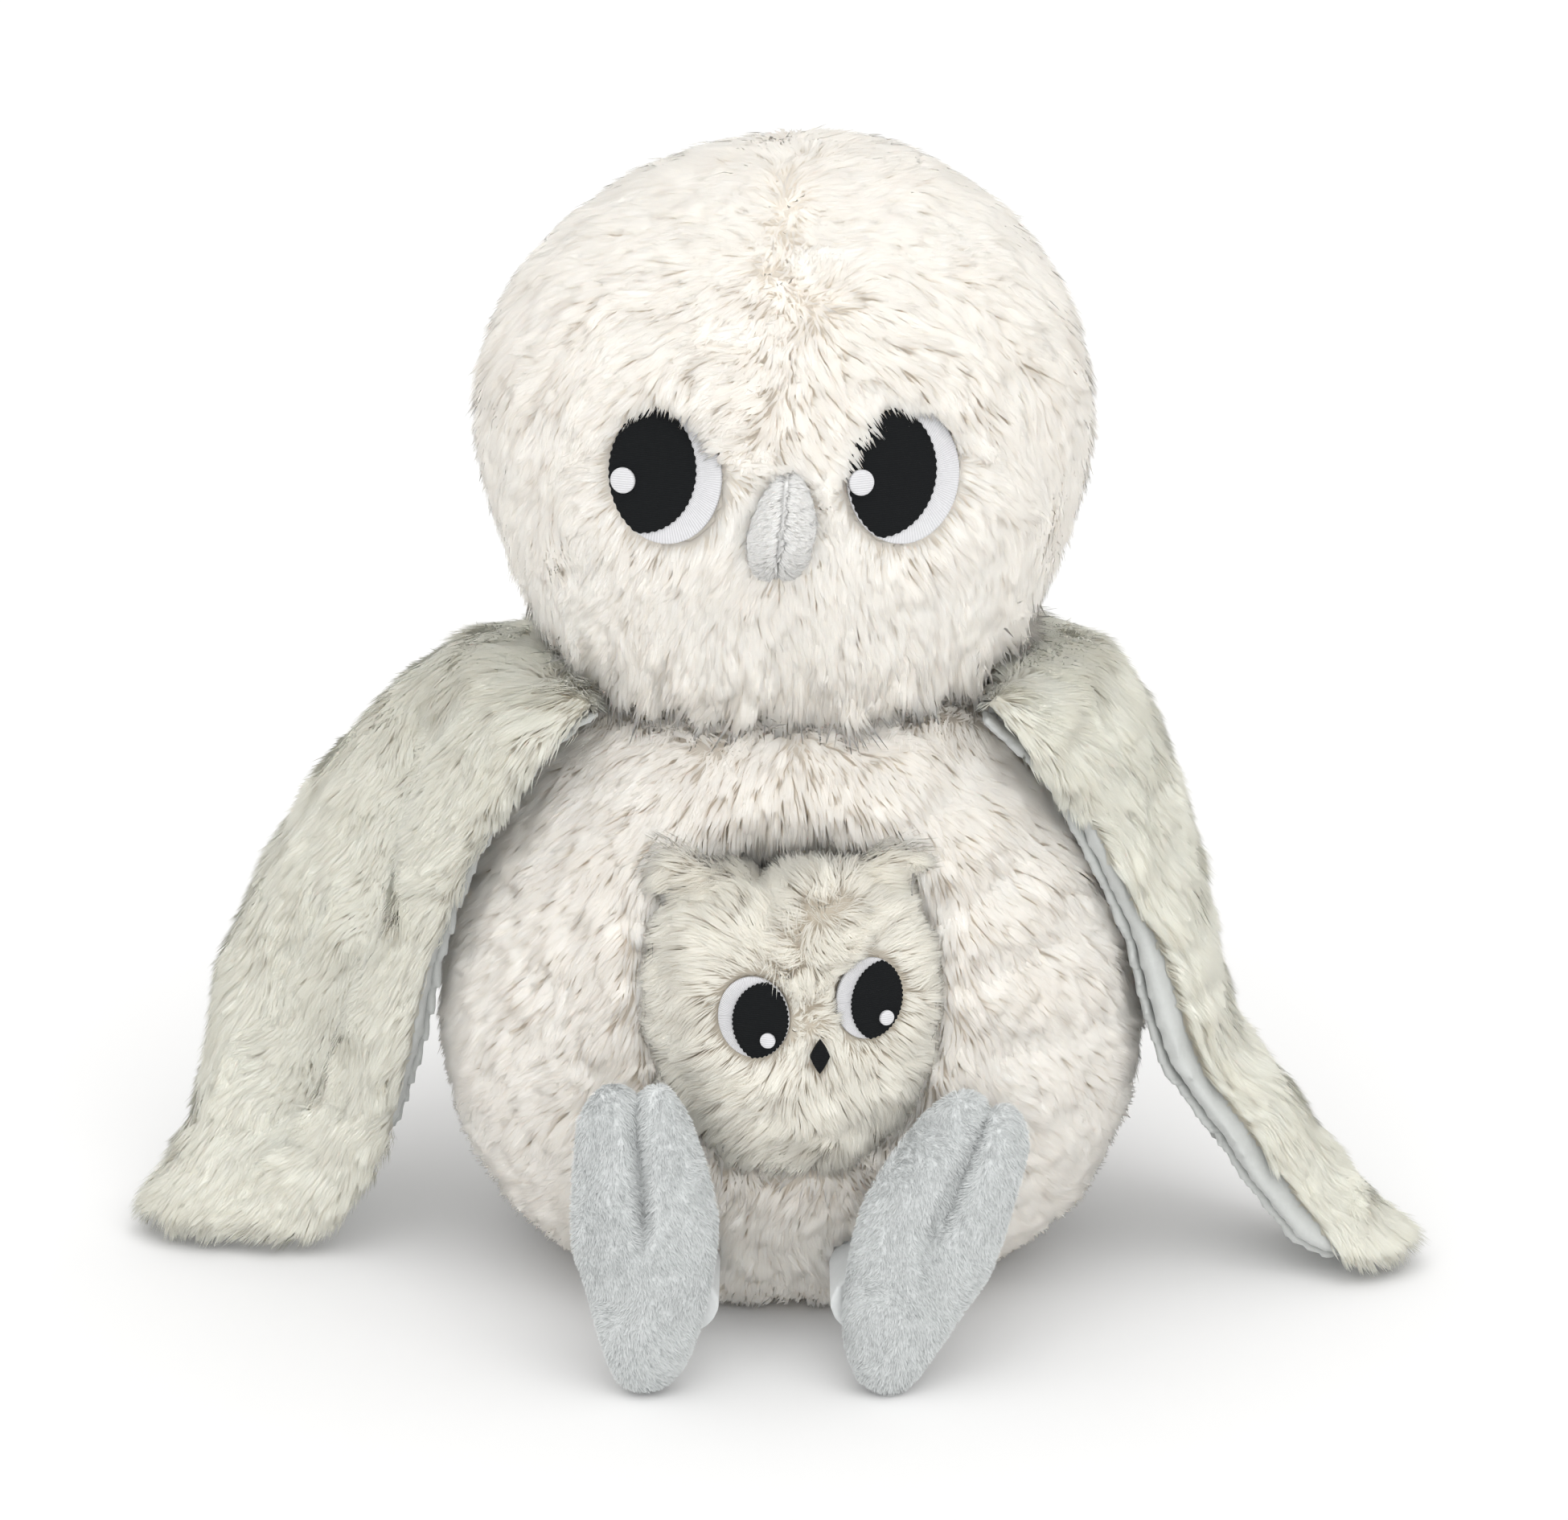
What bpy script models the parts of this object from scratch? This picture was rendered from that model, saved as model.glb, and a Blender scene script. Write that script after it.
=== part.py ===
"""A plush mother owl with a baby owl in her belly pouch, in metres, +Z up, her face towards -Y.

The toy is sewn from fabric panels round loose stuffing. Each cover is a thin shell in panels, each
stuffing a solid inside it, and the faces are flat embroidered patches in shallow seats.
"""
import math

import bmesh
import bpy
from mathutils import Matrix, Vector

# Fabric thicknesses and the gap between pieces that touch
CLEARANCE = 0.0003
PLUSH = 0.0030
VELBOA = 0.0015

# Mother's body, from the floor to the flat top where the neck is sewn
BODY_HEIGHT = 0.1275
BODY_HALF_WIDTH = 0.0710
BODY_FRONT_DEPTH = 0.0560
BODY_BACK_DEPTH = 0.0560
BODY_COLUMNS = 28
BODY_SHARES = (
    (0.000, 0.620), (0.078, 0.760), (0.180, 0.877), (0.290, 0.970), (0.415, 1.000), (0.520, 0.990),
    (0.627, 0.950), (0.753, 0.866), (0.863, 0.760), (0.940, 0.655), (1.000, 0.507),
)

# Bag of pellets that keeps her seated
BEAN_BAG_RADIUS = 0.0300
BEAN_BAG_HEIGHT = 0.0140
BEAN_BAG_EDGE_SHARE = 0.86
BEAN_BAG_COLUMNS = 16

# Mother's head, from the neck seam to the crown, which leans a little to her left
HEAD_CENTRE_X = -0.0016
HEAD_HEIGHT = 0.1075
HEAD_HALF_WIDTH = 0.0600
HEAD_FRONT_DEPTH = 0.0520
HEAD_BACK_DEPTH = 0.0560
HEAD_CROWN_SHIFT = 0.0060
HEAD_COLUMNS = 28
HEAD_SHARES = (
    (0.000, 0.567, 0.00), (0.050, 0.690, 0.00), (0.100, 0.775, 0.00), (0.173, 0.850, 0.00),
    (0.268, 0.922, 0.00), (0.363, 0.973, 0.00), (0.477, 1.000, 0.00), (0.591, 0.980, 0.00),
    (0.691, 0.917, 0.05), (0.777, 0.827, 0.12), (0.857, 0.692, 0.25), (0.924, 0.517, 0.45),
    (0.971, 0.325, 0.70), (0.992, 0.150, 0.90),
)

# Mother's eyes: a white patch, a black one on it and a small round glint
EYE_WIDTH = 0.0230
EYE_HEIGHT = 0.0270
EYE_SPACING = 0.0232
EYE_HEIGHT_ON_HEAD = 0.0520
PUPIL_WIDTH = 0.0176
PUPIL_HEIGHT = 0.0236
GLINT_RADIUS = 0.0025
EYE_SINK = 0.0020
PATCH = 0.0008
PATCH_COLUMNS = 20
GLINT_COLUMNS = 12
PUPIL_SHIFT_SHARES = {"left": (-0.096, 0.030), "right": (-0.096, 0.036)}
GLINT_SHIFT_SHARES = {"left": (-0.350, -0.060), "right": (-0.400, -0.020)}

# Mother's beak, a stuffed drop that leans to her right
BEAK_LENGTH = 0.0215
BEAK_HALF_WIDTH = 0.0062
BEAK_DEPTH = 0.0075
BEAK_TOP_HEIGHT_ON_HEAD = 0.0540
BEAK_TOP_X = 0.0012
BEAK_LEAN = 0.0030
BEAK_COLUMNS = 12
BEAK_SHARES = (
    (0.06, 0.32), (0.22, 0.68), (0.42, 0.93), (0.60, 1.00), (0.78, 0.88), (0.92, 0.58),
)

# Baby, which sits in the pouch
BABY_CENTRE_Y = -0.0460
BABY_BASE_HEIGHT = 0.0380
BABY_HEIGHT = 0.0640
BABY_HALF_WIDTH = 0.0285
BABY_HALF_DEPTH = 0.0210
BABY_COLUMNS = 20
BABY_SHARES = (
    (0.020, 0.280), (0.080, 0.550), (0.180, 0.780), (0.320, 0.935), (0.480, 1.000), (0.640, 0.985),
    (0.780, 0.900), (0.890, 0.730), (0.965, 0.430),
)
BABY_EAR_LENGTH = 0.0120
BABY_EAR_HALF_WIDTH = 0.0062
BABY_EAR_HALF_DEPTH = 0.0030
BABY_EAR_COLUMNS = 8
BABY_EAR_LEAN_SHARE = 0.45
BABY_EAR_SHARES = ((0.12, 0.95), (0.45, 1.00), (0.75, 0.70), (0.92, 0.35))
BABY_EAR_PLACE_SHARES = {"left": (-0.620, 0.870), "right": (0.560, 0.885)}
BABY_EYE_WIDTH = 0.0142
BABY_EYE_HEIGHT = 0.0165
BABY_PUPIL_WIDTH = 0.0112
BABY_PUPIL_HEIGHT = 0.0148
BABY_GLINT_RADIUS = 0.0015
BABY_PUPIL_SHIFT_SHARE = 0.10
BABY_GLINT_SHIFT_SHARES = (0.22, -0.25)
BABY_FACE_X = 0.0038
BABY_EYE_SPACING = 0.0116
BABY_EYE_HEIGHT_ON_BABY = 0.0390
BABY_FACE_TILT = 0.0030
BABY_BEAK_WIDTH = 0.0034
BABY_BEAK_HEIGHT = 0.0075
BABY_BEAK_X = 0.0052
BABY_BEAK_HEIGHT_ON_BABY = 0.0305

# Pouch: a lining bag round the space that the baby slides through, up and out
POUCH_CLEARANCE = 0.0006
POUCH_SPARE_DEPTH = 0.0080
POUCH_REACH = 0.0900
SLIDE_SLOPE_DEG = 45.0

# Feet: stuffed pads that stand on their heels, sole forward, with a stitched slit between two toes
FOOT_LENGTH = 0.0645
FOOT_HALF_WIDTH = 0.0153
FOOT_HALF_THICKNESS = 0.0075
FOOT_CENTRE_Y = -0.0755
FOOT_LEAN_BACK_DEG = {"left": 6.0, "right": 11.0}
FOOT_HEEL_LIFT = 0.0003
FOOT_NOTCH = 0.0030
FOOT_PLACES = {"left": -0.0290, "right": 0.0160}
FOOT_ROLL_DEG = {"left": 0.0, "right": 19.0}
FOOT_SLIT_START_SHARE = 0.54
FOOT_COLUMN_ANGLES_DEG = (0, 8, 30, 60, 90, 120, 150, 172)
FOOT_SHARES = (
    (0.025, -0.360, 0.300, 0.50), (0.100, -0.520, 0.570, 0.82), (0.220, -0.670, 0.770, 0.95),
    (0.350, -0.820, 0.895, 1.00), (0.460, -0.965, 0.970, 1.00), (0.570, -0.990, 0.990, 0.97),
    (0.680, -0.965, 0.905, 0.92), (0.790, -0.935, 0.760, 0.85), (0.885, -0.900, 0.620, 0.72),
    (0.955, -0.770, 0.460, 0.50), (0.990, -0.520, 0.290, 0.26),
)

# Legs: short stuffed tubes from the body to the back of each foot
LEG_RADIUS = 0.0065
LEG_HEIGHT = 0.0165
LEG_PLACES = {"left": -0.0205, "right": 0.0135}
LEG_COLUMNS = 14
LEG_SEAT_DEPTH = 0.0020

# Wings: a pile layer, a wadding and a lining, hinged on a sewn line along each shoulder
WING_PILE = 0.0040
WING_WADDING = 0.0020
WING_REACH = 0.0930
WING_DEPTH = 0.0400
SHOULDER_RISE = 0.0031
SHOULDER_HEIGHT = BODY_HEIGHT + SHOULDER_RISE
SHOULDER_HALF_WIDTH = 0.0430
WING_FOLD_DEPTH = 0.0035
WING_COLUMNS = 7
WING_FOLD_SHARES = (0.0, 0.30, -1.00, -0.20, 0.15, 0.0, 0.0)

# Each row runs from the front edge over the outermost line to the rear edge: reach, depth, height
LEFT_WING_SHARES = (
    ((-0.020, -0.80, 1.000), (0.010, 0.00, 1.000), (0.030, 0.70, 1.004)),
    ((0.075, -0.88, 0.945), (0.235, 0.02, 0.990), (0.200, 0.85, 0.940)),
    ((0.170, -0.82, 0.835), (0.385, 0.10, 0.890), (0.385, 0.98, 0.835)),
    ((0.255, -0.72, 0.715), (0.530, 0.20, 0.762), (0.540, 1.05, 0.700)),
    ((0.325, -0.60, 0.560), (0.657, 0.30, 0.605), (0.655, 1.08, 0.535)),
    ((0.370, -0.47, 0.390), (0.760, 0.33, 0.445), (0.740, 1.00, 0.370)),
    ((0.420, -0.30, 0.250), (0.805, 0.28, 0.295), (0.800, 0.85, 0.225)),
    ((0.500, -0.20, 0.140), (0.835, 0.20, 0.190), (0.850, 0.65, 0.125)),
    ((0.580, -0.18, 0.072), (0.890, 0.06, 0.105), (0.935, 0.50, 0.074)),
    ((0.655, -0.18, 0.056), (0.950, -0.02, 0.062), (0.985, 0.36, 0.058)),
)
RIGHT_WING_SHARES = (
    ((-0.033, -0.78, 1.000), (0.007, 0.00, 1.000), (0.027, 0.70, 1.004)),
    ((0.055, -0.88, 0.935), (0.185, 0.02, 0.995), (0.160, 0.75, 0.935)),
    ((0.145, -0.79, 0.845), (0.280, 0.05, 0.915), (0.240, 0.80, 0.850)),
    ((0.225, -0.72, 0.725), (0.350, 0.07, 0.790), (0.290, 0.82, 0.725)),
    ((0.305, -0.67, 0.600), (0.415, 0.07, 0.645), (0.330, 0.82, 0.595)),
    ((0.350, -0.66, 0.475), (0.455, 0.05, 0.500), (0.360, 0.80, 0.460)),
    ((0.395, -0.65, 0.378), (0.495, 0.02, 0.392), (0.380, 0.75, 0.348)),
    ((0.485, -0.62, 0.280), (0.600, -0.06, 0.300), (0.450, 0.60, 0.245)),
    ((0.575, -0.59, 0.172), (0.720, -0.15, 0.190), (0.540, 0.38, 0.142)),
    ((0.675, -0.60, 0.082), (0.835, -0.24, 0.098), (0.720, 0.16, 0.074)),
    ((0.740, -0.60, 0.058), (0.900, -0.36, 0.062), (0.850, -0.06, 0.058)),
)

# Colours as linear red, green and blue, with roughness
WHITE_PLUSH = ((0.86, 0.83, 0.78), 0.95)
SAGE_PLUSH = ((0.72, 0.73, 0.65), 0.95)
GREY_VELBOA = ((0.56, 0.60, 0.62), 0.90)
BABY_PLUSH = ((0.58, 0.56, 0.50), 0.95)
BEAK_PLUSH = ((0.66, 0.66, 0.66), 0.85)
STUFFING = ((0.90, 0.90, 0.88), 1.00)
LINING = ((0.80, 0.78, 0.74), 0.95)
BAG_CLOTH = ((0.70, 0.70, 0.68), 0.90)
BLACK_THREAD = ((0.008, 0.009, 0.012), 0.60)
WHITE_THREAD = ((0.78, 0.77, 0.78), 0.60)


def clear_scene():
    for item in list(bpy.data.objects):
        bpy.data.objects.remove(item, do_unlink=True)


def add_object(name, mesh_data, look):
    """Make an object from a bmesh, with a Principled material of its own."""
    mesh = bpy.data.meshes.new(name)
    bmesh.ops.recalc_face_normals(mesh_data, faces=mesh_data.faces)
    mesh_data.to_mesh(mesh)
    mesh_data.free()
    colour, roughness = look
    material = bpy.data.materials.new(name)
    material.use_nodes = True
    shader = material.node_tree.nodes["Principled BSDF"]
    shader.inputs["Base Color"].default_value = (*colour, 1)
    shader.inputs["Roughness"].default_value = roughness
    mesh.materials.append(material)
    mesh.shade_smooth()
    mesh.set_sharp_from_angle(angle=math.radians(50))
    item = bpy.data.objects.new(name, mesh)
    bpy.context.collection.objects.link(item)
    return item


def add_guide(name, place):
    """An empty on a joint's axis, which carries the pieces that move there."""
    guide = bpy.data.objects.new(name, None)
    guide.location = place
    bpy.context.collection.objects.link(guide)
    return guide


def hang(item, guide):
    """Parent a piece to an empty and leave it where it is."""
    item.parent = guide
    item.matrix_parent_inverse = Matrix.Translation(guide.location).inverted()


def add_cutter(name, mesh_data):
    cutter = add_object(name, mesh_data, STUFFING)
    cutter.hide_render = True
    cutter.display_type = "WIRE"
    return cutter


def cut(item, cutter, operation="DIFFERENCE"):
    boolean = item.modifiers.new(cutter.name, "BOOLEAN")
    boolean.operation = operation
    boolean.solver = "EXACT"
    boolean.object = cutter


class Form:
    """A stuffed form: rings of points along its axis, each end closed by a point or left open."""

    def __init__(self, rings, start=None, end=None):
        self.rings = rings
        self.start = start
        self.end = end

    def axis(self, row):
        ring = self.rings[row]
        quarter = len(ring) // 4
        across = ring[quarter * 2] - ring[0]
        return across.cross(ring[quarter * 3] - ring[quarter]).normalized()

    def normal(self, row, column):
        """The way out of the form at one point. An open end's rim is kept in its own plane."""
        ring = self.rings[row]
        along = ring[(column + 1) % len(ring)] - ring[column - 1]
        below = self.rings[row - 1][column] if row else self.start
        above = self.rings[row + 1][column] if row + 1 < len(self.rings) else self.end
        rise = (above or ring[column]) - (below or ring[column])
        out = along.cross(rise)
        if below is None or above is None:
            axis = self.axis(row)
            out -= axis * out.dot(axis)
        return out.normalized()

    def moved(self, depth):
        """The same form with its surface moved in by depth, or out where depth is below zero."""
        rings = [
            [point - self.normal(row, column) * depth for column, point in enumerate(ring)]
            for row, ring in enumerate(self.rings)
        ]
        start = self.start and self.start - (self.start - centre(self.rings[0])).normalized() * depth
        end = self.end and self.end - (self.end - centre(self.rings[-1])).normalized() * depth
        return Form(rings, start, end)

    def shifted(self, offset):
        rings = [[point + offset for point in ring] for ring in self.rings]
        return Form(rings, self.start and self.start + offset, self.end and self.end + offset)

    def points(self):
        ends = [end for end in (self.start, self.end) if end]
        return [point for ring in self.rings for point in ring] + ends

    def solid(self):
        """The whole form as one closed mesh."""
        mesh = bmesh.new()
        rings = [[mesh.verts.new(point) for point in ring] for ring in self.rings]
        for lower, upper in zip(rings, rings[1:]):
            join_rows(mesh, lower + lower[:1], upper + upper[:1])
        for ring, end in ((rings[0][::-1], self.start), (rings[-1], self.end)):
            if end:
                join_fan(mesh, ring + ring[:1], mesh.verts.new(end))
            else:
                mesh.faces.new(ring)
        return mesh


def centre(points):
    return sum(points, Vector()) / len(points)


def join_rows(mesh, lower, upper, inward=False):
    """Join two rows by triangles, always across the same diagonal, so that layers stay parallel."""
    for column in range(len(lower) - 1):
        first = (lower[column], lower[column + 1], upper[column + 1])
        second = (lower[column], upper[column + 1], upper[column])
        for corners in (first, second):
            mesh.faces.new(corners[::-1] if inward else corners)


def join_fan(mesh, row, tip):
    for column in range(len(row) - 1):
        mesh.faces.new((row[column], row[column + 1], tip))


def trimmed(row):
    """A row of points drawn in at both ends by half the gap of a seam."""
    first = row[0] + (row[1] - row[0]).normalized() * CLEARANCE / 2
    last = row[-1] + (row[-2] - row[-1]).normalized() * CLEARANCE / 2
    return [first] + row[1:-1] + [last]


def slab(outer_rows, inner_rows, outer_ends=(None, None), inner_ends=(None, None)):
    """Close two sheets of rows, and any end points where the rows meet, into one thin solid."""
    mesh = bmesh.new()
    outer = [[mesh.verts.new(point) for point in row] for row in outer_rows]
    inner = [[mesh.verts.new(point) for point in row] for row in inner_rows]
    for lower, upper in zip(outer, outer[1:]):
        join_rows(mesh, lower, upper)
    for lower, upper in zip(inner, inner[1:]):
        join_rows(mesh, lower, upper, inward=True)
    left = [(outer[row][0], inner[row][0]) for row in range(len(outer))]
    right = [(outer[row][-1], inner[row][-1]) for row in range(len(outer))]
    for place, row in ((0, 0), (1, -1)):
        if outer_ends[place] is None:
            rims = (inner[row], outer[row]) if place == 0 else (outer[row], inner[row])
            join_rows(mesh, *rims)
            continue
        tips = (mesh.verts.new(outer_ends[place]), mesh.verts.new(inner_ends[place]))
        for sheet, tip in ((outer[row], tips[0]), (inner[row][::-1], tips[1])):
            join_fan(mesh, sheet if place else sheet[::-1], tip)
        left.insert(len(left) * place, tips)
        right.insert(len(right) * place, tips)
    for side in (left, right):
        for lower, upper in zip(side, side[1:]):
            mesh.faces.new((lower[0], upper[0], upper[1], lower[1]))
    return mesh


def panel(form, depth, first, count):
    """One sewn panel of a form's cover: count columns from the first, depth thick."""
    inside = form.moved(depth)

    def rows(shape):
        size = len(shape.rings[0])
        columns = [(first + step) % size for step in range(count + 1)]
        return [trimmed([ring[column] for column in columns]) for ring in shape.rings]

    def ends(shape, sheet):
        middle = len(sheet[0]) // 2
        tips = []
        for tip, row in ((shape.start, sheet[0]), (shape.end, sheet[-1])):
            tips.append(tip and tip + (row[middle] - tip).normalized() * CLEARANCE)
        return tips

    outer_rows, inner_rows = rows(form), rows(inside)
    return slab(outer_rows, inner_rows, ends(form, outer_rows), ends(inside, inner_rows))


def oval_ring(middle, half_width, front, back, columns):
    """A ring round +Z that starts at the front, with its own depth before and behind."""
    ring = []
    for column in range(columns):
        angle = math.tau * column / columns
        depth = front if math.cos(angle) > 0 else back
        ring.append(middle + Vector((half_width * math.sin(angle), -depth * math.cos(angle), 0)))
    return ring


def body_form():
    rings = []
    for height, width in BODY_SHARES:
        middle = Vector((0, 0, BODY_HEIGHT * height))
        sizes = (BODY_HALF_WIDTH * width, BODY_FRONT_DEPTH * width, BODY_BACK_DEPTH * width)
        rings.append(oval_ring(middle, *sizes, BODY_COLUMNS))
    return Form(rings)


def head_base():
    return Vector((HEAD_CENTRE_X, 0, BODY_HEIGHT + CLEARANCE))


def head_form():
    rings = []
    for height, width, shift in HEAD_SHARES:
        middle = head_base() + Vector((HEAD_CROWN_SHIFT * shift, 0, HEAD_HEIGHT * height))
        sizes = (HEAD_HALF_WIDTH * width, HEAD_FRONT_DEPTH * width, HEAD_BACK_DEPTH * width)
        rings.append(oval_ring(middle, *sizes, HEAD_COLUMNS))
    crown = head_base() + Vector((HEAD_CROWN_SHIFT, 0, HEAD_HEIGHT))
    return Form(rings, end=crown)


def baby_form():
    rings = []
    base = Vector((0, BABY_CENTRE_Y, BABY_BASE_HEIGHT))
    for height, width in BABY_SHARES:
        middle = base + Vector((0, 0, BABY_HEIGHT * height))
        depth = BABY_HALF_DEPTH * width
        rings.append(oval_ring(middle, BABY_HALF_WIDTH * width, depth, depth, BABY_COLUMNS))
    return Form(rings, base, base + Vector((0, 0, BABY_HEIGHT)))


def front_place(shares, base, height, half_width, depth, x, rise):
    """The point on a form's front at x and rise, with the way out of the form there."""
    share = rise / height
    lower = max((row for row in shares if row[0] <= share), key=lambda row: row[0])
    upper = min((row for row in shares if row[0] > share), key=lambda row: row[0])
    blend = (share - lower[0]) / (upper[0] - lower[0])
    width = lower[1] + (upper[1] - lower[1]) * blend
    across = x / (half_width * width)
    forward = math.sqrt(1 - across * across)
    place = base + Vector((x, -depth * width * forward, rise))
    slope = (upper[1] - lower[1]) / (upper[0] - lower[0]) * depth / height
    out = Vector((across * depth / half_width, -forward, -slope))
    return place, out.normalized()


def frame_at(place, out):
    """A frame with its z along out, its x to the viewer's right and its origin at place."""
    across = Vector((0, 0, 1)).cross(out).normalized()
    up = out.cross(across)
    turn = Matrix((across, up, out)).transposed()
    return Matrix.Translation(place) @ turn.to_4x4()


def oval_plate(frame, width, height, shift, low, high, columns):
    """A flat oval patch in the frame's plane, from low to high along its way out."""
    mesh = bmesh.new()
    rows = []
    for level in (low, high):
        row = []
        for column in range(columns):
            angle = math.tau * column / columns
            x = shift[0] + width / 2 * math.cos(angle)
            y = shift[1] + height / 2 * math.sin(angle)
            row.append(mesh.verts.new(frame @ Vector((x, y, level))))
        rows.append(row)
    join_rows(mesh, rows[0] + rows[0][:1], rows[1] + rows[1][:1])
    mesh.faces.new(rows[0][::-1])
    mesh.faces.new(rows[1])
    return mesh


def add_eye(name, side, frame, sizes, pupil_shift, glint_shift, cover):
    """A white, a black and a glint patch, stacked in a seat cut in the cover."""
    width, height, pupil_width, pupil_height, glint_radius = sizes
    reach = height
    seat = (width + CLEARANCE * 2, height + CLEARANCE * 2)
    cutter = add_cutter(
        f"{name}_seat_{side}",
        oval_plate(frame, *seat, (0, 0), -EYE_SINK, reach, PATCH_COLUMNS),
    )
    cut(cover, cutter)
    low = CLEARANCE - EYE_SINK
    patches = (
        ("white", width, height, (0, 0), PATCH_COLUMNS, WHITE_THREAD),
        ("pupil", pupil_width, pupil_height, pupil_shift, PATCH_COLUMNS, BLACK_THREAD),
        ("glint", glint_radius * 2, glint_radius * 2, glint_shift, GLINT_COLUMNS, WHITE_THREAD),
    )
    pieces = []
    for kind, patch_width, patch_height, shift, columns, look in patches:
        plate = oval_plate(frame, patch_width, patch_height, shift, low, low + PATCH, columns)
        pieces.append(add_object(f"{name}_{kind}_{side}", plate, look))
        low += PATCH + CLEARANCE
    return pieces


def pouch_space(extra):
    """The space that the baby slides through, grown by extra, as one convex form."""
    slope = math.radians(SLIDE_SLOPE_DEG)
    slide = Vector((0, -math.cos(slope), math.sin(slope)))
    seat = baby_form().moved(-POUCH_CLEARANCE - extra)
    mesh = bmesh.new()
    for offset in (Vector((0, POUCH_SPARE_DEPTH, 0)), Vector(), slide * POUCH_REACH):
        for point in seat.shifted(offset).points():
            mesh.verts.new(point)
    hull = bmesh.ops.convex_hull(mesh, input=mesh.verts)
    spare = set(hull["geom_interior"]) | set(hull["geom_unused"])
    bmesh.ops.delete(mesh, geom=[item for item in spare if isinstance(item, bmesh.types.BMVert)])
    return mesh


def build_body():
    form = body_form()
    quarter = BODY_COLUMNS // 4
    mouth = add_cutter("pouch_mouth", pouch_space(0))
    core = add_cutter("body_core", form.moved(PLUSH + CLEARANCE).solid())
    right = add_object("body_front_right", panel(form, PLUSH, 0, quarter), WHITE_PLUSH)
    left = add_object("body_front_left", panel(form, PLUSH, quarter * 3, quarter), WHITE_PLUSH)
    for front in (right, left):
        cut(front, mouth)
    add_object("body_back", panel(form, PLUSH, quarter, quarter * 2), WHITE_PLUSH)

    lining = add_object("pouch_lining", pouch_space(VELBOA), LINING)
    cut(lining, mouth)
    cut(lining, core, "INTERSECT")

    base_share = BODY_SHARES[0][1]
    inward = PLUSH + CLEARANCE
    sizes = [size * base_share - inward for size in (BODY_HALF_WIDTH, BODY_FRONT_DEPTH, BODY_BACK_DEPTH)]
    base_rings = [oval_ring(Vector((0, 0, level)), *sizes, BODY_COLUMNS) for level in (0, PLUSH)]
    add_object("body_base", Form(base_rings).solid(), WHITE_PLUSH)

    stuffing = form.moved(PLUSH + CLEARANCE)
    floor_ring = [Vector((point.x, point.y, PLUSH + CLEARANCE)) for point in stuffing.rings[0]]
    stuffing.rings[0] = floor_ring
    filling = add_object("body_stuffing", stuffing.solid(), STUFFING)
    cut(filling, add_cutter("pouch_bag_space", pouch_space(VELBOA + CLEARANCE)))
    cut(filling, add_cutter("bean_bag_space", bean_bag(CLEARANCE).solid()))
    add_object("bean_bag", bean_bag(0).solid(), BAG_CLOTH)


def bean_bag(extra):
    """The pellet bag, grown by extra at its side and top, and down to the base panel's level."""
    low = PLUSH + CLEARANCE * 2
    middle = low + BEAN_BAG_HEIGHT / 2
    high = low + BEAN_BAG_HEIGHT + extra
    waist = BEAN_BAG_RADIUS + extra
    edge = BEAN_BAG_RADIUS * BEAN_BAG_EDGE_SHARE + extra
    levels = ((low - extra * 2, edge), (middle, waist), (high, edge))
    rings = []
    for level, radius in levels:
        rings.append(oval_ring(Vector((0, 0, level)), radius, radius, radius, BEAN_BAG_COLUMNS))
    return Form(rings)


def build_head():
    neck = add_guide("neck_axis", head_base())
    form = head_form()
    half = HEAD_COLUMNS // 2
    covers = {
        "right": add_object("head_right", panel(form, PLUSH, 0, half), WHITE_PLUSH),
        "left": add_object("head_left", panel(form, PLUSH, half, half), WHITE_PLUSH),
    }
    pieces = list(covers.values())
    pieces.append(add_object("head_stuffing", form.moved(PLUSH + CLEARANCE).solid(), STUFFING))
    sizes = (EYE_WIDTH, EYE_HEIGHT, PUPIL_WIDTH, PUPIL_HEIGHT, GLINT_RADIUS)
    head_sizes = (HEAD_HEIGHT, HEAD_HALF_WIDTH, HEAD_FRONT_DEPTH)
    for side, sign in (("left", -1), ("right", 1)):
        place, out = front_place(
            HEAD_SHARES, head_base(), *head_sizes, EYE_SPACING * sign, EYE_HEIGHT_ON_HEAD)
        pupil = [share * size for share, size in zip(PUPIL_SHIFT_SHARES[side], sizes)]
        glint = [share * size for share, size in zip(GLINT_SHIFT_SHARES[side], sizes)]
        frame = frame_at(place, out)
        pieces += add_eye("eye", side, frame, sizes, pupil, glint, covers[side])

    beak = add_object("beak", beak_form().solid(), BEAK_PLUSH)
    cut(beak, add_cutter("beak_seat", form.moved(-CLEARANCE).solid()))
    pieces.append(beak)
    for piece in pieces:
        hang(piece, neck)


def beak_form():
    """A drop along the face's surface, half of it inside the head before it is cut."""
    head_sizes = (HEAD_HEIGHT, HEAD_HALF_WIDTH, HEAD_FRONT_DEPTH)

    def place(share):
        x = BEAK_TOP_X - BEAK_LEAN * share
        rise = BEAK_TOP_HEIGHT_ON_HEAD - BEAK_LENGTH * share
        return front_place(HEAD_SHARES, head_base(), *head_sizes, x, rise)[0]

    rings = []
    for along, width in reversed(BEAK_SHARES):
        depth = BEAK_DEPTH * width
        rings.append(oval_ring(place(along), BEAK_HALF_WIDTH * width, depth, depth, BEAK_COLUMNS))
    return Form(rings, place(1), place(0))


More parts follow.
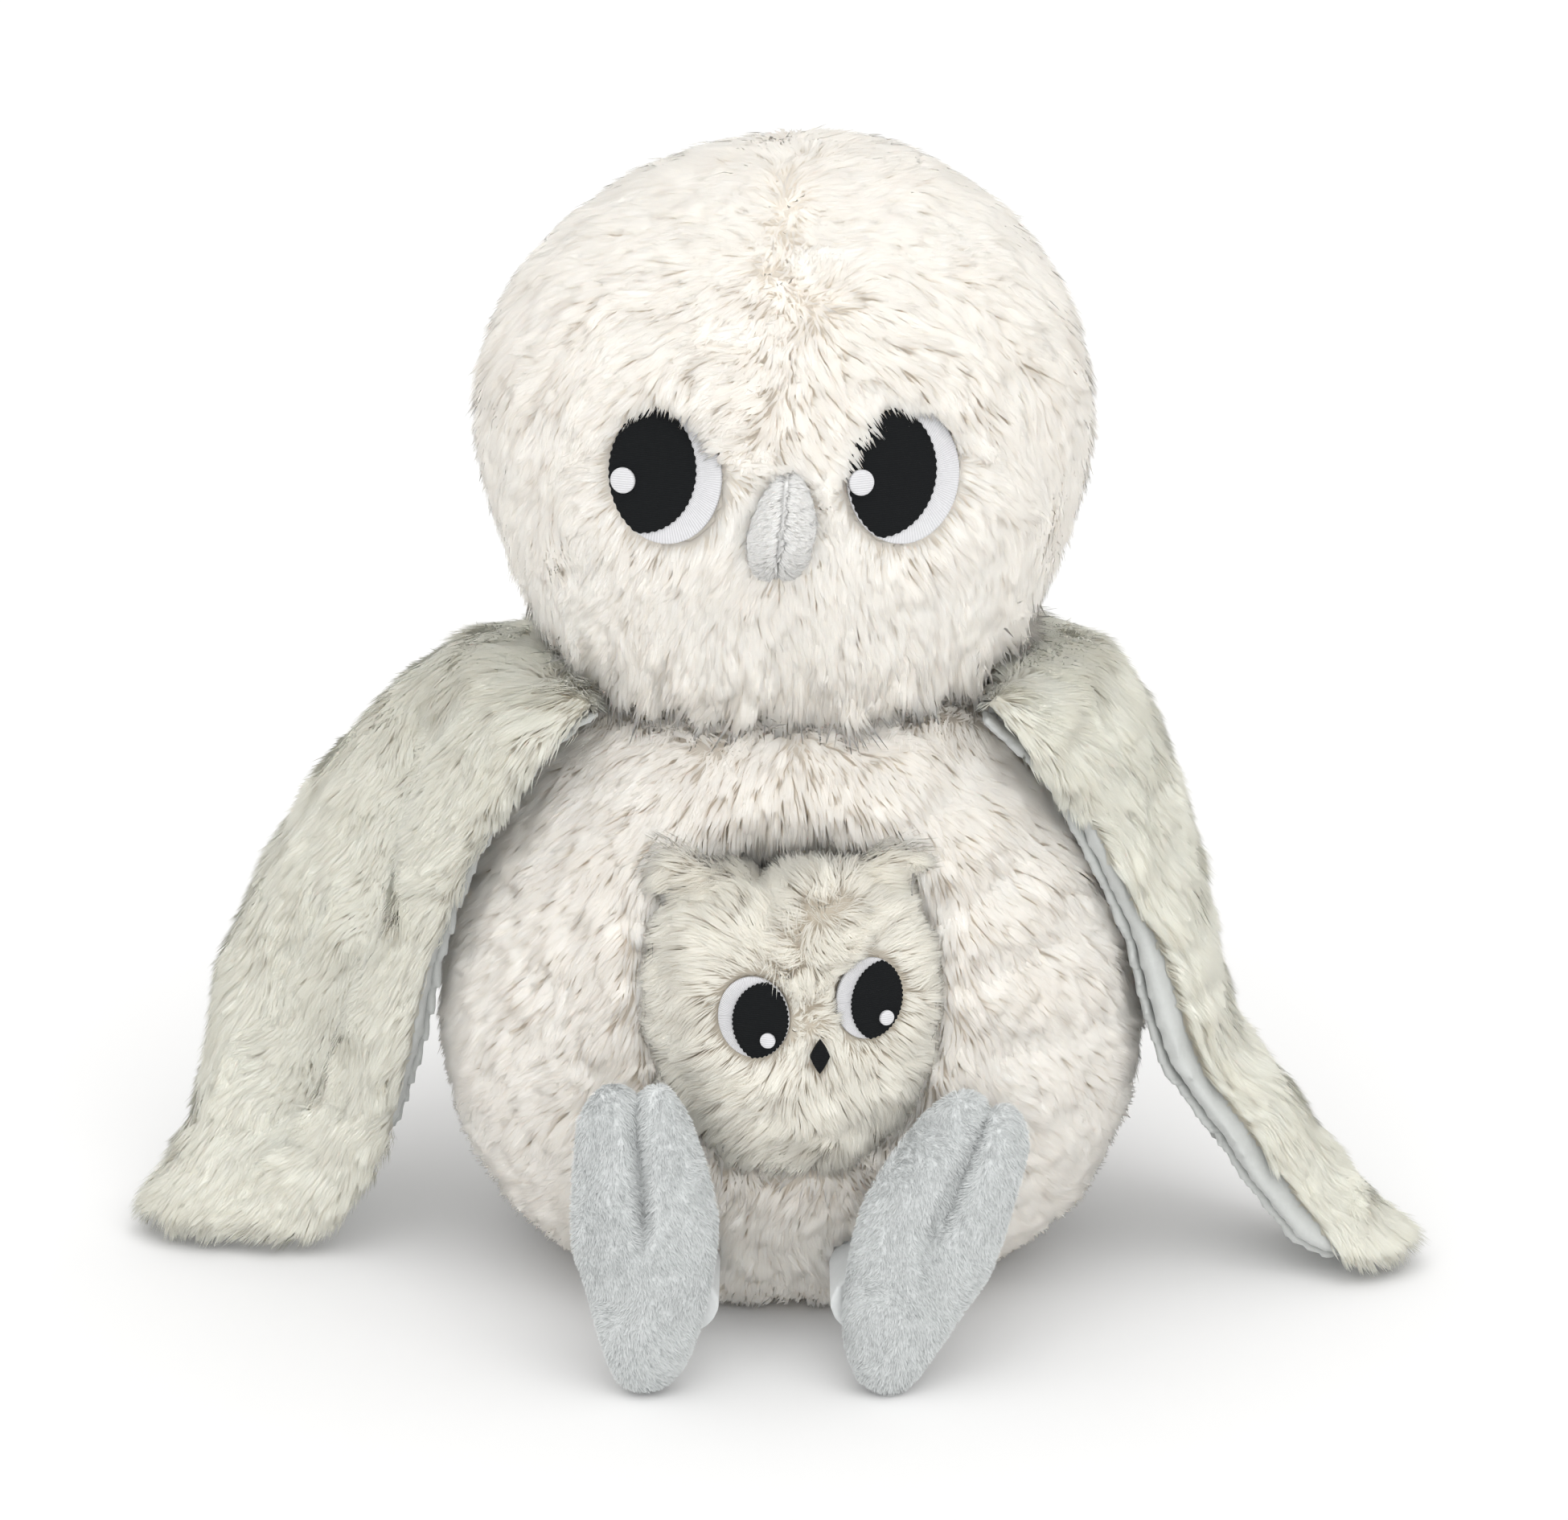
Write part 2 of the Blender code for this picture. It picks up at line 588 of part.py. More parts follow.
def build_baby():
    guide = add_guide("baby_slide", Vector((0, BABY_CENTRE_Y, BABY_BASE_HEIGHT + BABY_HEIGHT / 2)))
    form = baby_form()
    base = form.start
    quarter = BABY_COLUMNS // 4
    front = add_object("baby_front", panel(form, PLUSH, quarter * 3, quarter * 2), BABY_PLUSH)
    back = add_object("baby_back", panel(form, PLUSH, quarter, quarter * 2), BABY_PLUSH)
    filling = add_object("baby_stuffing", form.moved(PLUSH + CLEARANCE).solid(), STUFFING)
    pieces = [front, back, filling]
    baby_sizes = (BABY_HEIGHT, BABY_HALF_WIDTH, BABY_HALF_DEPTH)
    sizes = (
        BABY_EYE_WIDTH, BABY_EYE_HEIGHT, BABY_PUPIL_WIDTH, BABY_PUPIL_HEIGHT, BABY_GLINT_RADIUS)
    pupil = (BABY_PUPIL_SHIFT_SHARE * BABY_EYE_WIDTH, 0)
    glint = [share * size for share, size in zip(BABY_GLINT_SHIFT_SHARES, sizes)]
    for side, sign in (("left", -1), ("right", 1)):
        x = BABY_FACE_X + BABY_EYE_SPACING * sign
        rise = BABY_EYE_HEIGHT_ON_BABY + BABY_FACE_TILT / 2 * sign
        frame = frame_at(*front_place(BABY_SHARES, base, *baby_sizes, x, rise))
        pieces += add_eye("baby_eye", side, frame, sizes, pupil, glint, front)

    beak_place = front_place(BABY_SHARES, base, *baby_sizes, BABY_BEAK_X, BABY_BEAK_HEIGHT_ON_BABY)
    frame = frame_at(*beak_place)
    seat = (BABY_BEAK_WIDTH + CLEARANCE * 2, BABY_BEAK_HEIGHT + CLEARANCE * 2)
    seat_plate = oval_plate(frame, *seat, (0, 0), -PATCH, BABY_BEAK_HEIGHT, GLINT_COLUMNS)
    cut(front, add_cutter("baby_beak_seat", seat_plate))
    beak_size = (BABY_BEAK_WIDTH, BABY_BEAK_HEIGHT)
    beak_levels = (CLEARANCE - PATCH, CLEARANCE)
    beak_plate = oval_plate(frame, *beak_size, (0, 0), *beak_levels, GLINT_COLUMNS)
    pieces.append(add_object("baby_beak", beak_plate, BLACK_THREAD))

    head = add_cutter("baby_ear_seat", form.moved(-CLEARANCE).solid())
    for side, (across, up) in BABY_EAR_PLACE_SHARES.items():
        ear = add_object(f"baby_ear_{side}", baby_ear(base, across, up).solid(), BABY_PLUSH)
        cut(ear, head)
        pieces.append(ear)
    for piece in pieces:
        hang(piece, guide)


def baby_ear(base, across, up):
    """A flat tuft that leans outwards from the top of the baby's head."""
    root = base + Vector((BABY_HALF_WIDTH * across, 0, BABY_HEIGHT * up))
    lean = math.copysign(BABY_EAR_LEAN_SHARE, across)
    axis = Vector((lean, 0, 1)).normalized() * BABY_EAR_LENGTH
    rings = []
    for along, width in BABY_EAR_SHARES:
        depth = BABY_EAR_HALF_DEPTH * width
        half_width = BABY_EAR_HALF_WIDTH * width
        rings.append(oval_ring(root + axis * along, half_width, depth, depth, BABY_EAR_COLUMNS))
    return Form(rings, root, root + axis)


def foot_frame(side):
    """The foot's frame: z up from the heel, which leans back and rolls to its side."""
    place = Vector((FOOT_PLACES[side], FOOT_CENTRE_Y, FOOT_HEEL_LIFT))
    roll = Matrix.Rotation(math.radians(FOOT_ROLL_DEG[side]), 4, "Y")
    lean = Matrix.Rotation(-math.radians(FOOT_LEAN_BACK_DEG[side]), 4, "X")
    return Matrix.Translation(place) @ roll @ lean


def foot_form(side):
    """A pad with a groove down its front and back, where the two toes are stitched apart."""
    frame = foot_frame(side)
    mirror = 1 if side == "left" else -1
    angles = [math.radians(angle) for angle in FOOT_COLUMN_ANGLES_DEG]
    angles += [angle + math.pi for angle in angles]
    stitched = VELBOA + CLEARANCE * 2
    rings = []
    for height, left, right, swell in FOOT_SHARES:
        middle = FOOT_HALF_WIDTH * (left + right) / 2
        half_width = FOOT_HALF_WIDTH * (right - left) / 2
        thickness = max(FOOT_HALF_THICKNESS * swell, stitched)
        ring = []
        for column, angle in enumerate(angles):
            on_slit = column % (len(angles) // 2) == 0
            x = middle + half_width * math.sin(angle)
            y = -thickness * math.cos(angle)
            z = FOOT_LENGTH * height
            if on_slit and height > FOOT_SLIT_START_SHARE:
                y = math.copysign(stitched, y)
                z -= FOOT_NOTCH * max(0, height - FOOT_SLIT_START_SHARE)
            ring.append(frame @ Vector((x * mirror, y, z)))
        if mirror < 0:
            ring = ring[:1] + ring[:0:-1]
        rings.append(ring)
    first, last = FOOT_SHARES[0], FOOT_SHARES[-1]
    heel_x = FOOT_HALF_WIDTH * (first[1] + first[2]) / 2 * mirror
    toe_x = FOOT_HALF_WIDTH * (last[1] + last[2]) / 2 * mirror
    heel = frame @ Vector((heel_x, 0, 0))
    toe = frame @ Vector((toe_x, 0, FOOT_LENGTH - FOOT_NOTCH / 2))
    return Form(rings, heel, toe)


def build_feet():
    body_seat = add_cutter("leg_seat", body_form().moved(-CLEARANCE).solid())
    for side in ("left", "right"):
        form = foot_form(side)
        columns = len(form.rings[0])
        quarter = columns // 4
        leg_end = Vector((LEG_PLACES[side], FOOT_CENTRE_Y + FOOT_HALF_THICKNESS, LEG_HEIGHT))
        below_leg = LEG_HEIGHT - LEG_RADIUS - CLEARANCE
        hinge = add_guide(f"ankle_{side}", Vector((leg_end.x, FOOT_CENTRE_Y, below_leg)))
        sole = panel(form, VELBOA, quarter * 3, quarter * 2)
        upper = panel(form, VELBOA, quarter, quarter * 2)
        pieces = [
            add_object(f"foot_{side}_sole", sole, GREY_VELBOA),
            add_object(f"foot_{side}_upper", upper, GREY_VELBOA),
            add_object(f"foot_{side}_stuffing", form.moved(VELBOA + CLEARANCE).solid(), STUFFING),
        ]
        for piece in pieces:
            hang(piece, hinge)
        leg = add_object(f"leg_{side}", leg_tube(leg_end), GREY_VELBOA)
        cut(leg, body_seat)
        cut(leg, add_cutter(f"foot_seat_{side}", form.moved(-CLEARANCE).solid()))


def leg_tube(end):
    """A round tube along Y from inside the foot's back to inside the body, before it is cut."""
    rings = []
    for y in (0, end.y - LEG_SEAT_DEPTH):
        ring = []
        for column in range(LEG_COLUMNS):
            angle = math.tau * column / LEG_COLUMNS
            x = end.x + LEG_RADIUS * math.sin(angle)
            ring.append(Vector((x, y, end.z + LEG_RADIUS * math.cos(angle))))
        rings.append(ring)
    return Form(rings).solid()


def wing_sheet(table, side):
    """The wing's outer surface: rows down its length, each an arc through three points."""
    sign = -1 if side == "left" else 1
    rows = []
    for knots in table:
        front, outermost, rear = [
            Vector((
                sign * (SHOULDER_HALF_WIDTH + WING_REACH * reach),
                WING_DEPTH * depth,
                SHOULDER_HEIGHT * height,
            ))
            for reach, depth, height in knots
        ]
        handle = outermost * 2 - (front + rear) / 2
        row = []
        for column in range(WING_COLUMNS):
            share = column / (WING_COLUMNS - 1)
            point = front * (1 - share) ** 2 + handle * 2 * share * (1 - share) + rear * share ** 2
            row.append(point)
        rows.append(row if side == "left" else row[::-1])
    return rows


def sheet_normals(rows):
    normals = []
    for row_number, row in enumerate(rows):
        before = rows[max(row_number - 1, 0)]
        after = rows[min(row_number + 1, len(rows) - 1)]
        line = []
        for column in range(len(row)):
            across = row[min(column + 1, len(row) - 1)] - row[max(column - 1, 0)]
            line.append(across.cross(after[column] - before[column]).normalized())
        normals.append(line)
    return normals


def build_wing(side, table, fold):
    """Three layers that hang from a hinge line, with the lining's top resting on the shoulder."""
    sheet = wing_sheet(table, side)
    normals = sheet_normals(sheet)
    for row in range(2, len(sheet) - 2):
        for column, share in enumerate(fold):
            sheet[row][column] += normals[row][column] * WING_FOLD_DEPTH * share
    normals = sheet_normals(sheet)

    def level(depth, rim_depth, rows=slice(None), columns=slice(None)):
        """The sheet moved in by depth, or by rim_depth at the edge that is sewn together."""
        moved = []
        for row, (line, ways) in enumerate(zip(sheet, normals)):
            on_end = row == len(sheet) - 1
            rims = [on_end or column in (0, WING_COLUMNS - 1) for column in range(WING_COLUMNS)]
            depths = [rim_depth if rim else depth for rim in rims]
            moved.append([point - way * step for point, way, step in zip(line, ways, depths)][columns])
        return moved[rows]

    wadding_top = WING_PILE + CLEARANCE
    wadding_base = wadding_top + WING_WADDING
    lining_top = wadding_base + CLEARANCE
    lining_base, rim_base = lining_top + VELBOA, wadding_top + VELBOA
    inner = (slice(0, -1), slice(1, -1))
    layers = (
        ("outer", level(0, 0), level(WING_PILE, WING_PILE), SAGE_PLUSH),
        ("wadding", level(wadding_top, 0, *inner), level(wadding_base, 0, *inner), STUFFING),
        ("lining", level(lining_top, wadding_top), level(lining_base, rim_base), GREY_VELBOA),
    )
    middle = (sheet[0][0] + sheet[0][-1]) / 2
    hinge = add_guide(f"shoulder_{side}", middle)
    for kind, top, bottom, look in layers:
        hang(add_object(f"wing_{side}_{kind}", slab(top, bottom), look), hinge)


def main():
    clear_scene()
    build_body()
    build_head()
    build_baby()
    build_feet()
    build_wing("left", LEFT_WING_SHARES, WING_FOLD_SHARES)
    build_wing("right", RIGHT_WING_SHARES, (0,) * WING_COLUMNS)


if __name__ == "__main__":
    main()
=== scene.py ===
"""A seated plush mother owl with her baby in a belly pouch, on a white studio floor.

Each stuffed form starts from its solid, is swollen like a filled cover, and then grows its pile as
thousands of tapered blades that follow the lie of the fabric.
"""

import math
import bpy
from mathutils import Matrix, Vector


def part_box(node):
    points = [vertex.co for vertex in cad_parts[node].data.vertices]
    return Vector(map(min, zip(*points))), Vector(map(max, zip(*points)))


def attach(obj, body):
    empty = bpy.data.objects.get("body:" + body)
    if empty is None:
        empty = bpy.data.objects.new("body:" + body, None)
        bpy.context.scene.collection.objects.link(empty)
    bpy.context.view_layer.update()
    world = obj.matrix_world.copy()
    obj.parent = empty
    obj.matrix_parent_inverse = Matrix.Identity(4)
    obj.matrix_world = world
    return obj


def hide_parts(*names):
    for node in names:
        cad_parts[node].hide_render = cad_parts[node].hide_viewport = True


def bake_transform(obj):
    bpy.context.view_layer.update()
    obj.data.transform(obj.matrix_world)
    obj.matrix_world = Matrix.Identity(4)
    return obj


bl_info = {
    "name": "Plush owl",
    "version": (1, 0, 0),
    "blender": (4, 5, 0),
    "location": "View3D > Sidebar > Plush owl",
    "description": "Covers, pile, embroidered faces and studio for a plush mother owl and her baby",
    "category": "Object",
}

import bmesh
import bpy
import numpy as np
from bpy.props import FloatProperty, FloatVectorProperty, IntProperty, PointerProperty
from bpy.types import Operator, Panel, PropertyGroup
from mathutils import Vector
from mathutils.bvhtree import BVHTree
from mathutils.kdtree import KDTree

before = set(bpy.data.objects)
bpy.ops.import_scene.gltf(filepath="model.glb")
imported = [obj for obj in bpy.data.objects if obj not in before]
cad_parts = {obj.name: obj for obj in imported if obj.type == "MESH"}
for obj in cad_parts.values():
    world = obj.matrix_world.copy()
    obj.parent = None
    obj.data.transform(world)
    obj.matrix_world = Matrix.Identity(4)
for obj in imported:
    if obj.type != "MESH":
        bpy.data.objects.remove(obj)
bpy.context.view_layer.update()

NECK = Vector((-0.0016, 0, 0.1278))
BEAK_MIDDLE = Vector((0.0, -0.052, 0.171))
SHOULDERS = {"left": Vector((-0.0435, -0.002, 0.1309)), "right": Vector((0.0427, -0.0016, 0.1309))}
SIDES = {"left": -1, "right": 1}
MOUTH = np.array((-0.002, -0.056, 0.072))

# How far a cover is pushed back behind an embroidered patch
SEAT = 0.0011
# The brow over the right eye: a slanting line in shares of the eye's half sizes, and its pile's
# centre from the middle of the eye
BROW_SLOPE = 0.75
BROW_RISE = 1.18
BROW_HEART = np.array((-0.009, 0, 0.011))

# Bare strips of lining along the wings' inner edges, seen from the front and 18 degrees above:
# height in that view and width of the strip. Then the left wing's crease: height and place.
STRIPS = {
    "left": ((0.012, 0.0), (0.030, 0.0030), (0.070, 0.0026), (0.100, 0.0014), (0.106, 0.0)),
    "right": ((-0.010, 0.0090), (0.020, 0.0090), (0.042, 0.0075), (0.084, 0.0046), (0.100, 0.0026),
              (0.108, 0.0)),
}
CREASE = ((0.0267, -0.1048), (0.0465, -0.0965), (0.0680, -0.0866), (0.0845, -0.0817), (0.1092, -0.0734))
CREASE_SIZE = 0.0046
VIEW_TILT = 0.314
# The front and back coats of head and body meet on a slanting plane behind their outline: its place,
# its slope, the width of the change, and the back's share of blades
COAT_EDGE, COAT_SLOPE, COAT_BLEND = 0.020, 0.32, 0.0015
COAT_BACK = 0.7

# Camera: degrees above level, the point that it looks at from 1 m off, and its lens in mm
CAMERA_RISE = 18
CAMERA_AIM = (-0.00165, 0.0, 0.107)
CAMERA_LENS = 111.89
# Lamps: name, strength, the way to the lamp, and its spread in degrees
LAMPS = (
    ("top_light", 0.52, (0.02, -0.55, 1.0), 70),
    ("fill_light", 1.15, (0.15, -1.0, 0.6), 90),
)
DAYLIGHT = 0.84
CLOTH_FRAMES = 20


def shade(name, text, colour):
    return FloatVectorProperty(
        name=name, description=text, subtype="COLOR", size=3, min=0, max=1, default=colour)


def span(name, text, size):
    return FloatProperty(name=name, description=text, unit="LENGTH", precision=4, min=0, default=size)


class OwlColours(PropertyGroup):
    """Fabric and thread colours."""

    white_tip: shade("White pile tips", "Tips of the mother's white pile", (0.655, 0.648, 0.628))
    # White pile roots: partly the cloth's own cream and partly painted warm shade of the gaps between locks
    white_root_and_shade: shade("White pile roots", "Roots of the mother's white pile", (0.68, 0.637, 0.57))
    sage_tip: shade("Wing pile tips", "Tips of the wings' pile", (0.68, 0.685, 0.63))
    # Wing pile roots are darker than the tips partly as painted shade between the locks
    sage_root_and_shade: shade("Wing pile roots", "Roots of the wings' pile", (0.57, 0.55, 0.475))
    baby_tip: shade("Baby's pile tips", "Tips of the baby's pile", (0.74, 0.74, 0.692))
    baby_root: shade("Baby's pile roots", "Roots of the baby's pile", (0.56, 0.50, 0.41))
    velboa: shade("Foot cloth", "Short-pile cloth of feet, legs and wing linings", (0.70, 0.72, 0.72))
    # The wing lining is the feet's short-pile cloth made darker: painted shade of the wings' inward-facing
    # side
    lining: shade("Wing lining", "Short-pile cloth inside the wings", (0.55, 0.565, 0.55))
    beak: shade("Beak", "Silky cloth of the beak", (0.81, 0.81, 0.80))
    black: shade("Black thread", "Embroidered black", (0.006, 0.007, 0.008))
    white: shade("White thread", "Embroidered white", (0.72, 0.72, 0.74))
    pouch: shade("Pouch cloth", "Lining of the pouch", (0.90, 0.84, 0.76))


class OwlSizes(PropertyGroup):
    """Pile lengths and counts."""

    head_pile: span("Head pile", "Length of the pile on the head", 0.0070)
    body_pile: span("Body pile", "Length of the pile on the body", 0.0074)
    wing_pile: span("Wing pile", "Length of the pile on the wings", 0.0082)
    baby_pile: span("Baby's pile", "Length of the pile on the baby", 0.0064)
    short_pile: span("Short pile", "Length of the pile on feet and linings", 0.0013)
    blade: span("Blade width", "Width of a blade of pile at its widest", 0.00056)
    blades: IntProperty(
        name="Blades", description="Blades of pile on each large panel", min=1000, max=99000, default=82000)


class Signal:
    """A node's output that takes part in sums."""

    def __init__(self, finish, socket):
        self.finish = finish
        self.socket = socket

    def join(self, operation, first, second):
        return self.finish.node("Math", {"operation": operation}, {0: first, 1: second}, "Value")

    def __add__(self, other):
        return self.join("ADD", self, other)

    def __sub__(self, other):
        return self.join("SUBTRACT", self, other)

    def __rsub__(self, other):
        return self.join("SUBTRACT", other, self)

    def __mul__(self, other):
        return self.join("MULTIPLY", self, other)

    __radd__ = __add__
    __rmul__ = __mul__


class Finish:
    """One procedural material."""

    def __init__(self, name):
        self.material = bpy.data.materials.new(name)
        self.material.use_nodes = True
        self.tree = self.material.node_tree
        self.shader = self.tree.nodes["Principled BSDF"]
        self.coordinates = self.node("TexCoord", {}, {}, "Object")

    def node(self, kind, settings, values, output):
        node = self.tree.nodes.new("ShaderNode" + kind)
        for key, value in settings.items():
            if key == "stops":
                for place, _ in value[1:-1]:
                    node.color_ramp.elements.new(place)
                for stop, (place, colour) in zip(node.color_ramp.elements, value):
                    stop.position, stop.color = place, colour
            else:
                setattr(node, key, value)
        for key, value in values.items():
            self.plug(node.inputs[key], value)
        return Signal(self, node.outputs[output])

    def surface(self, layer):
        """The two coordinates of a UV map."""
        place = self.node("UVMap", {"uv_map": layer}, {}, "UV")
        across = self.node("SeparateXYZ", {}, {"Vector": place}, "X")
        return across, Signal(self, across.socket.node.outputs["Y"])

    def plug(self, socket, value):
        if isinstance(value, Signal):
            self.tree.links.new(value.socket, socket)
        else:
            socket.default_value = value

    def noise(self, size, detail=2.0, vector=None):
        values = {"Vector": vector or self.coordinates, "Scale": 1 / size, "Detail": detail}
        return self.node("TexNoise", {}, values, "Fac")

    def blend(self, factor, first, second):
        settings = {"data_type": "RGBA"}
        values = {0: factor, 6: first, 7: second}
        return self.node("Mix", settings, values, 2)

    def bump(self, height, depth):
        values = {"Height": height, "Distance": depth, "Strength": 1.0}
        return self.node("Bump", {}, values, "Normal")

    def set(self, **values):
        for key, value in values.items():
            self.plug(self.shader.inputs[key.replace("_", " ")], value)
        return self.material


def rgba(colour, gain=1.0):
    return (*[min(1.0, part * gain) for part in colour], 1)


def pile_finish(name, root, tip, glow=0.95, depth=0.006):
    """Long pile: warm roots, pale tips, a tone of its own for each lock, and light that seeps in. On the
    white, wing and beak piles the roots' colour is partly painted shade down between the blades.
    """
    finish = Finish(name)
    lock, along = finish.surface("OFBake")
    middle = [low + (high - low) * 0.7 for low, high in zip(root, tip)]
    stops = ((0.05, rgba(root)), (0.40, rgba(middle)), (0.95, rgba(tip)))
    ramp = finish.node("ValToRGB", {"stops": stops}, {"Fac": along}, "Color")
    dim = finish.blend(lock * 0.5, ramp, rgba(middle, 0.96))
    finish.shader.subsurface_method = "BURLEY"
    finish.set(Base_Color=dim, Roughness=0.85, Specular_IOR_Level=0.25, Sheen_Weight=0.25)
    return finish.set(Sheen_Roughness=0.5, Subsurface_Weight=glow, Subsurface_Scale=depth,
                      Subsurface_Radius=(1.0, 0.9, 0.8))


def backing_finish(name, colour):
    """The cloth under long pile, mottled by the foot of the pile."""
    finish = Finish(name)
    tone = finish.noise(0.0015, 3)
    base = finish.blend(tone, rgba(colour, 0.94), rgba(colour, 1.06))
    return finish.set(Base_Color=base, Roughness=0.95, Specular_IOR_Level=0.1,
                      Normal=finish.bump(tone, 0.0004))


def velboa_finish(name, colour, depth=0.00018):
    """Short pile brushed in patches, which catch the light unlike each other: that sheen is painted into the
    colour as lighter and darker patches, over a fine random grain and a broad random tone.
    """
    finish = Finish(name)
    warp = finish.noise(0.012, 2)
    grain = finish.noise(0.0011, 4)
    brushed_sheen = finish.noise(0.006, 3)
    # Painted sheen of the brushed patches, mixed with random tone
    tone = warp * 0.3 + grain * 0.4 + brushed_sheen * 0.3
    base = finish.blend(tone, rgba(colour, 0.90), rgba(colour, 1.10))
    finish.set(Base_Color=base, Roughness=0.8, Specular_IOR_Level=0.2,
               Normal=finish.bump(grain * 0.85 + brushed_sheen * 0.15, depth))
    return finish.set(Sheen_Weight=0.5, Sheen_Roughness=0.4)


def short_pile_finish(name, colour):
    """Blades of short pile: a tone for each, a little darker at the foot as painted shade among the blades.
    """
    finish = Finish(name)
    blade, along = finish.surface("OFBake")
    base = finish.blend(along * 0.6 + blade * 0.4, rgba(colour, 0.78), rgba(colour, 1.18))
    finish.set(Base_Color=base, Roughness=0.7, Specular_IOR_Level=0.3)
    return finish.set(Sheen_Weight=0.4, Sheen_Roughness=0.4)


def satin_finish(name, colour, pitch, radial=False):
    """Embroidery: threads laid side by side, across the patch or out from its middle."""
    finish = Finish(name)
    across, rise = finish.surface("Stitch")
    jitter = finish.noise(0.0010, 2)
    if radial:
        angle = finish.node("Math", {"operation": "ARCTAN2"}, {0: rise, 1: across}, "Value")
        run = angle * (0.010 / pitch)
    else:
        run = (rise + jitter * 0.00012) * (1 / pitch)
    wave = finish.node("Math", {"operation": "SINE"}, {0: run * math.tau}, "Value") * 0.5 + 0.5
    # The colour follows the thread ridges: darker in the grooves as painted shade and lighter on the ridges
    # as painted highlight, mixed with a random tone
    base = finish.blend(wave * 0.6 + jitter * 0.4, rgba(colour, 0.82), rgba(colour, 1.10))
    finish.set(Base_Color=base, Roughness=0.65 + jitter * 0.2, Specular_IOR_Level=0.15,
               Normal=finish.bump(wave * 0.8 + jitter * 0.2, 0.00012))
    return finish.material


def pick(*pieces):
    """Select these pieces alone, the last one active."""
    if bpy.context.object and bpy.context.object.mode != "OBJECT":
        bpy.ops.object.mode_set(mode="OBJECT")
    bpy.ops.object.select_all(action="DESELECT")
    for piece in pieces:
        piece.select_set(True)
        bpy.context.view_layer.objects.active = piece


def finish_with(piece, kind, **settings):
    """Add a modifier, set it and apply it."""
    modifier = piece.modifiers.new(kind.title(), kind)
    for key, value in settings.items():
        setattr(modifier, key, value)
    pick(piece)
    bpy.ops.object.modifier_apply(modifier=modifier.name)


def from_solids(name, nodes):
    """One new mesh from copies of CAD solids, with their doubles merged."""
    copies = []
    for node in nodes:
        copy = bpy.data.objects.new(name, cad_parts[node].data.copy())
        bpy.context.collection.objects.link(copy)
        copies.append(copy)
    pick(*copies)
    if len(copies) > 1:
        bpy.ops.object.join()
    piece = bpy.context.object
    piece.name = piece.data.name = name
    piece.data.materials.clear()
    bpy.ops.object.mode_set(mode="EDIT")
    bpy.ops.mesh.select_all(action="SELECT")
    bpy.ops.mesh.remove_doubles(threshold=0.00001)
    bpy.ops.object.mode_set(mode="OBJECT")
    return piece


def points(piece):
    values = np.empty(len(piece.data.vertices) * 3)
    piece.data.vertices.foreach_get("co", values)
    return values.reshape(-1, 3)


def ways_out(piece):
    values = np.empty(len(piece.data.vertices) * 3, dtype=np.float32)
    piece.data.vertex_normals.foreach_get("vector", values)
    return values.reshape(-1, 3).astype(float)


def place_points(piece, places):
    piece.data.vertices.foreach_set("co", np.asarray(places, dtype=np.float32).ravel())
    piece.data.update()


def one_skin(piece, voxel, inward, rounds=4):
    """Close a stack of shells into one outer skin, set in from the solid by inward."""
    finish_with(piece, "REMESH", mode="VOXEL", voxel_size=voxel)
    pick(piece)
    bpy.ops.object.mode_set(mode="EDIT")
    bpy.ops.mesh.select_all(action="SELECT")
    bpy.ops.mesh.separate(type="LOOSE")
    bpy.ops.object.mode_set(mode="OBJECT")
    parts = sorted(bpy.context.selected_objects, key=lambda part: -len(part.data.vertices))
    name = piece.name
    for part in parts[1:]:
        bpy.data.objects.remove(part, do_unlink=True)
    skin = parts[0]
    skin.name = skin.data.name = name
    finish_with(skin, "SMOOTH", factor=0.5, iterations=rounds)
    place_points(skin, points(skin) - ways_out(skin) * inward)
    return skin


def fill_out(piece, pressure, cap):
    """Swell a closed cover with cloth simulation, no point moving further than cap."""
    start = points(piece)
    cloth = piece.modifiers.new("Cloth", "CLOTH")
    settings = cloth.settings
    settings.quality = 5
    settings.mass = 0.15
    settings.use_pressure = True
    settings.uniform_pressure_force = pressure
    settings.tension_stiffness = settings.compression_stiffness = 8
    settings.shear_stiffness = 4
    settings.effector_weights.gravity = 0
    scene = bpy.context.scene
    cloth.point_cache.frame_start, cloth.point_cache.frame_end = 1, CLOTH_FRAMES
    for number in range(1, CLOTH_FRAMES + 1):
        scene.frame_set(number)
    evaluated = piece.evaluated_get(bpy.context.evaluated_depsgraph_get())
    values = np.empty(len(piece.data.vertices) * 3)
    evaluated.data.vertices.foreach_get("co", values)
    moved = values.reshape(-1, 3) - start
    reach = np.linalg.norm(moved, axis=1, keepdims=True)
    moved *= np.minimum(1, cap / np.maximum(reach, 1e-9))
    piece.modifiers.remove(cloth)
    scene.frame_set(1)
    place_points(piece, start + moved)


def settle(piece, material, body, nodes, levels=1):
    """Subdivide, shade, colour and hang a finished cover on its body."""
    if levels:
        finish_with(piece, "SUBSURF", levels=levels, render_levels=levels)
    piece.data.shade_smooth()
    piece.data.materials.clear()
    piece.data.materials.append(material)
    if body:
        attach(piece, body)
    if nodes:
        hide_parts(*nodes)
    return piece


def waves(places, size, seed):
    """A smooth random direction at each place, from a few sine waves about size long."""
    rng = np.random.default_rng(seed)
    total = np.zeros_like(places)
    for _ in range(5):
        axis = rng.normal(size=(3, 3))
        axis /= np.linalg.norm(axis, axis=0)
        phase = rng.uniform(0, math.tau, 3)
        total += np.sin(places @ axis * (math.tau / size * rng.uniform(0.7, 1.4)) + phase)
    return total / 2.2


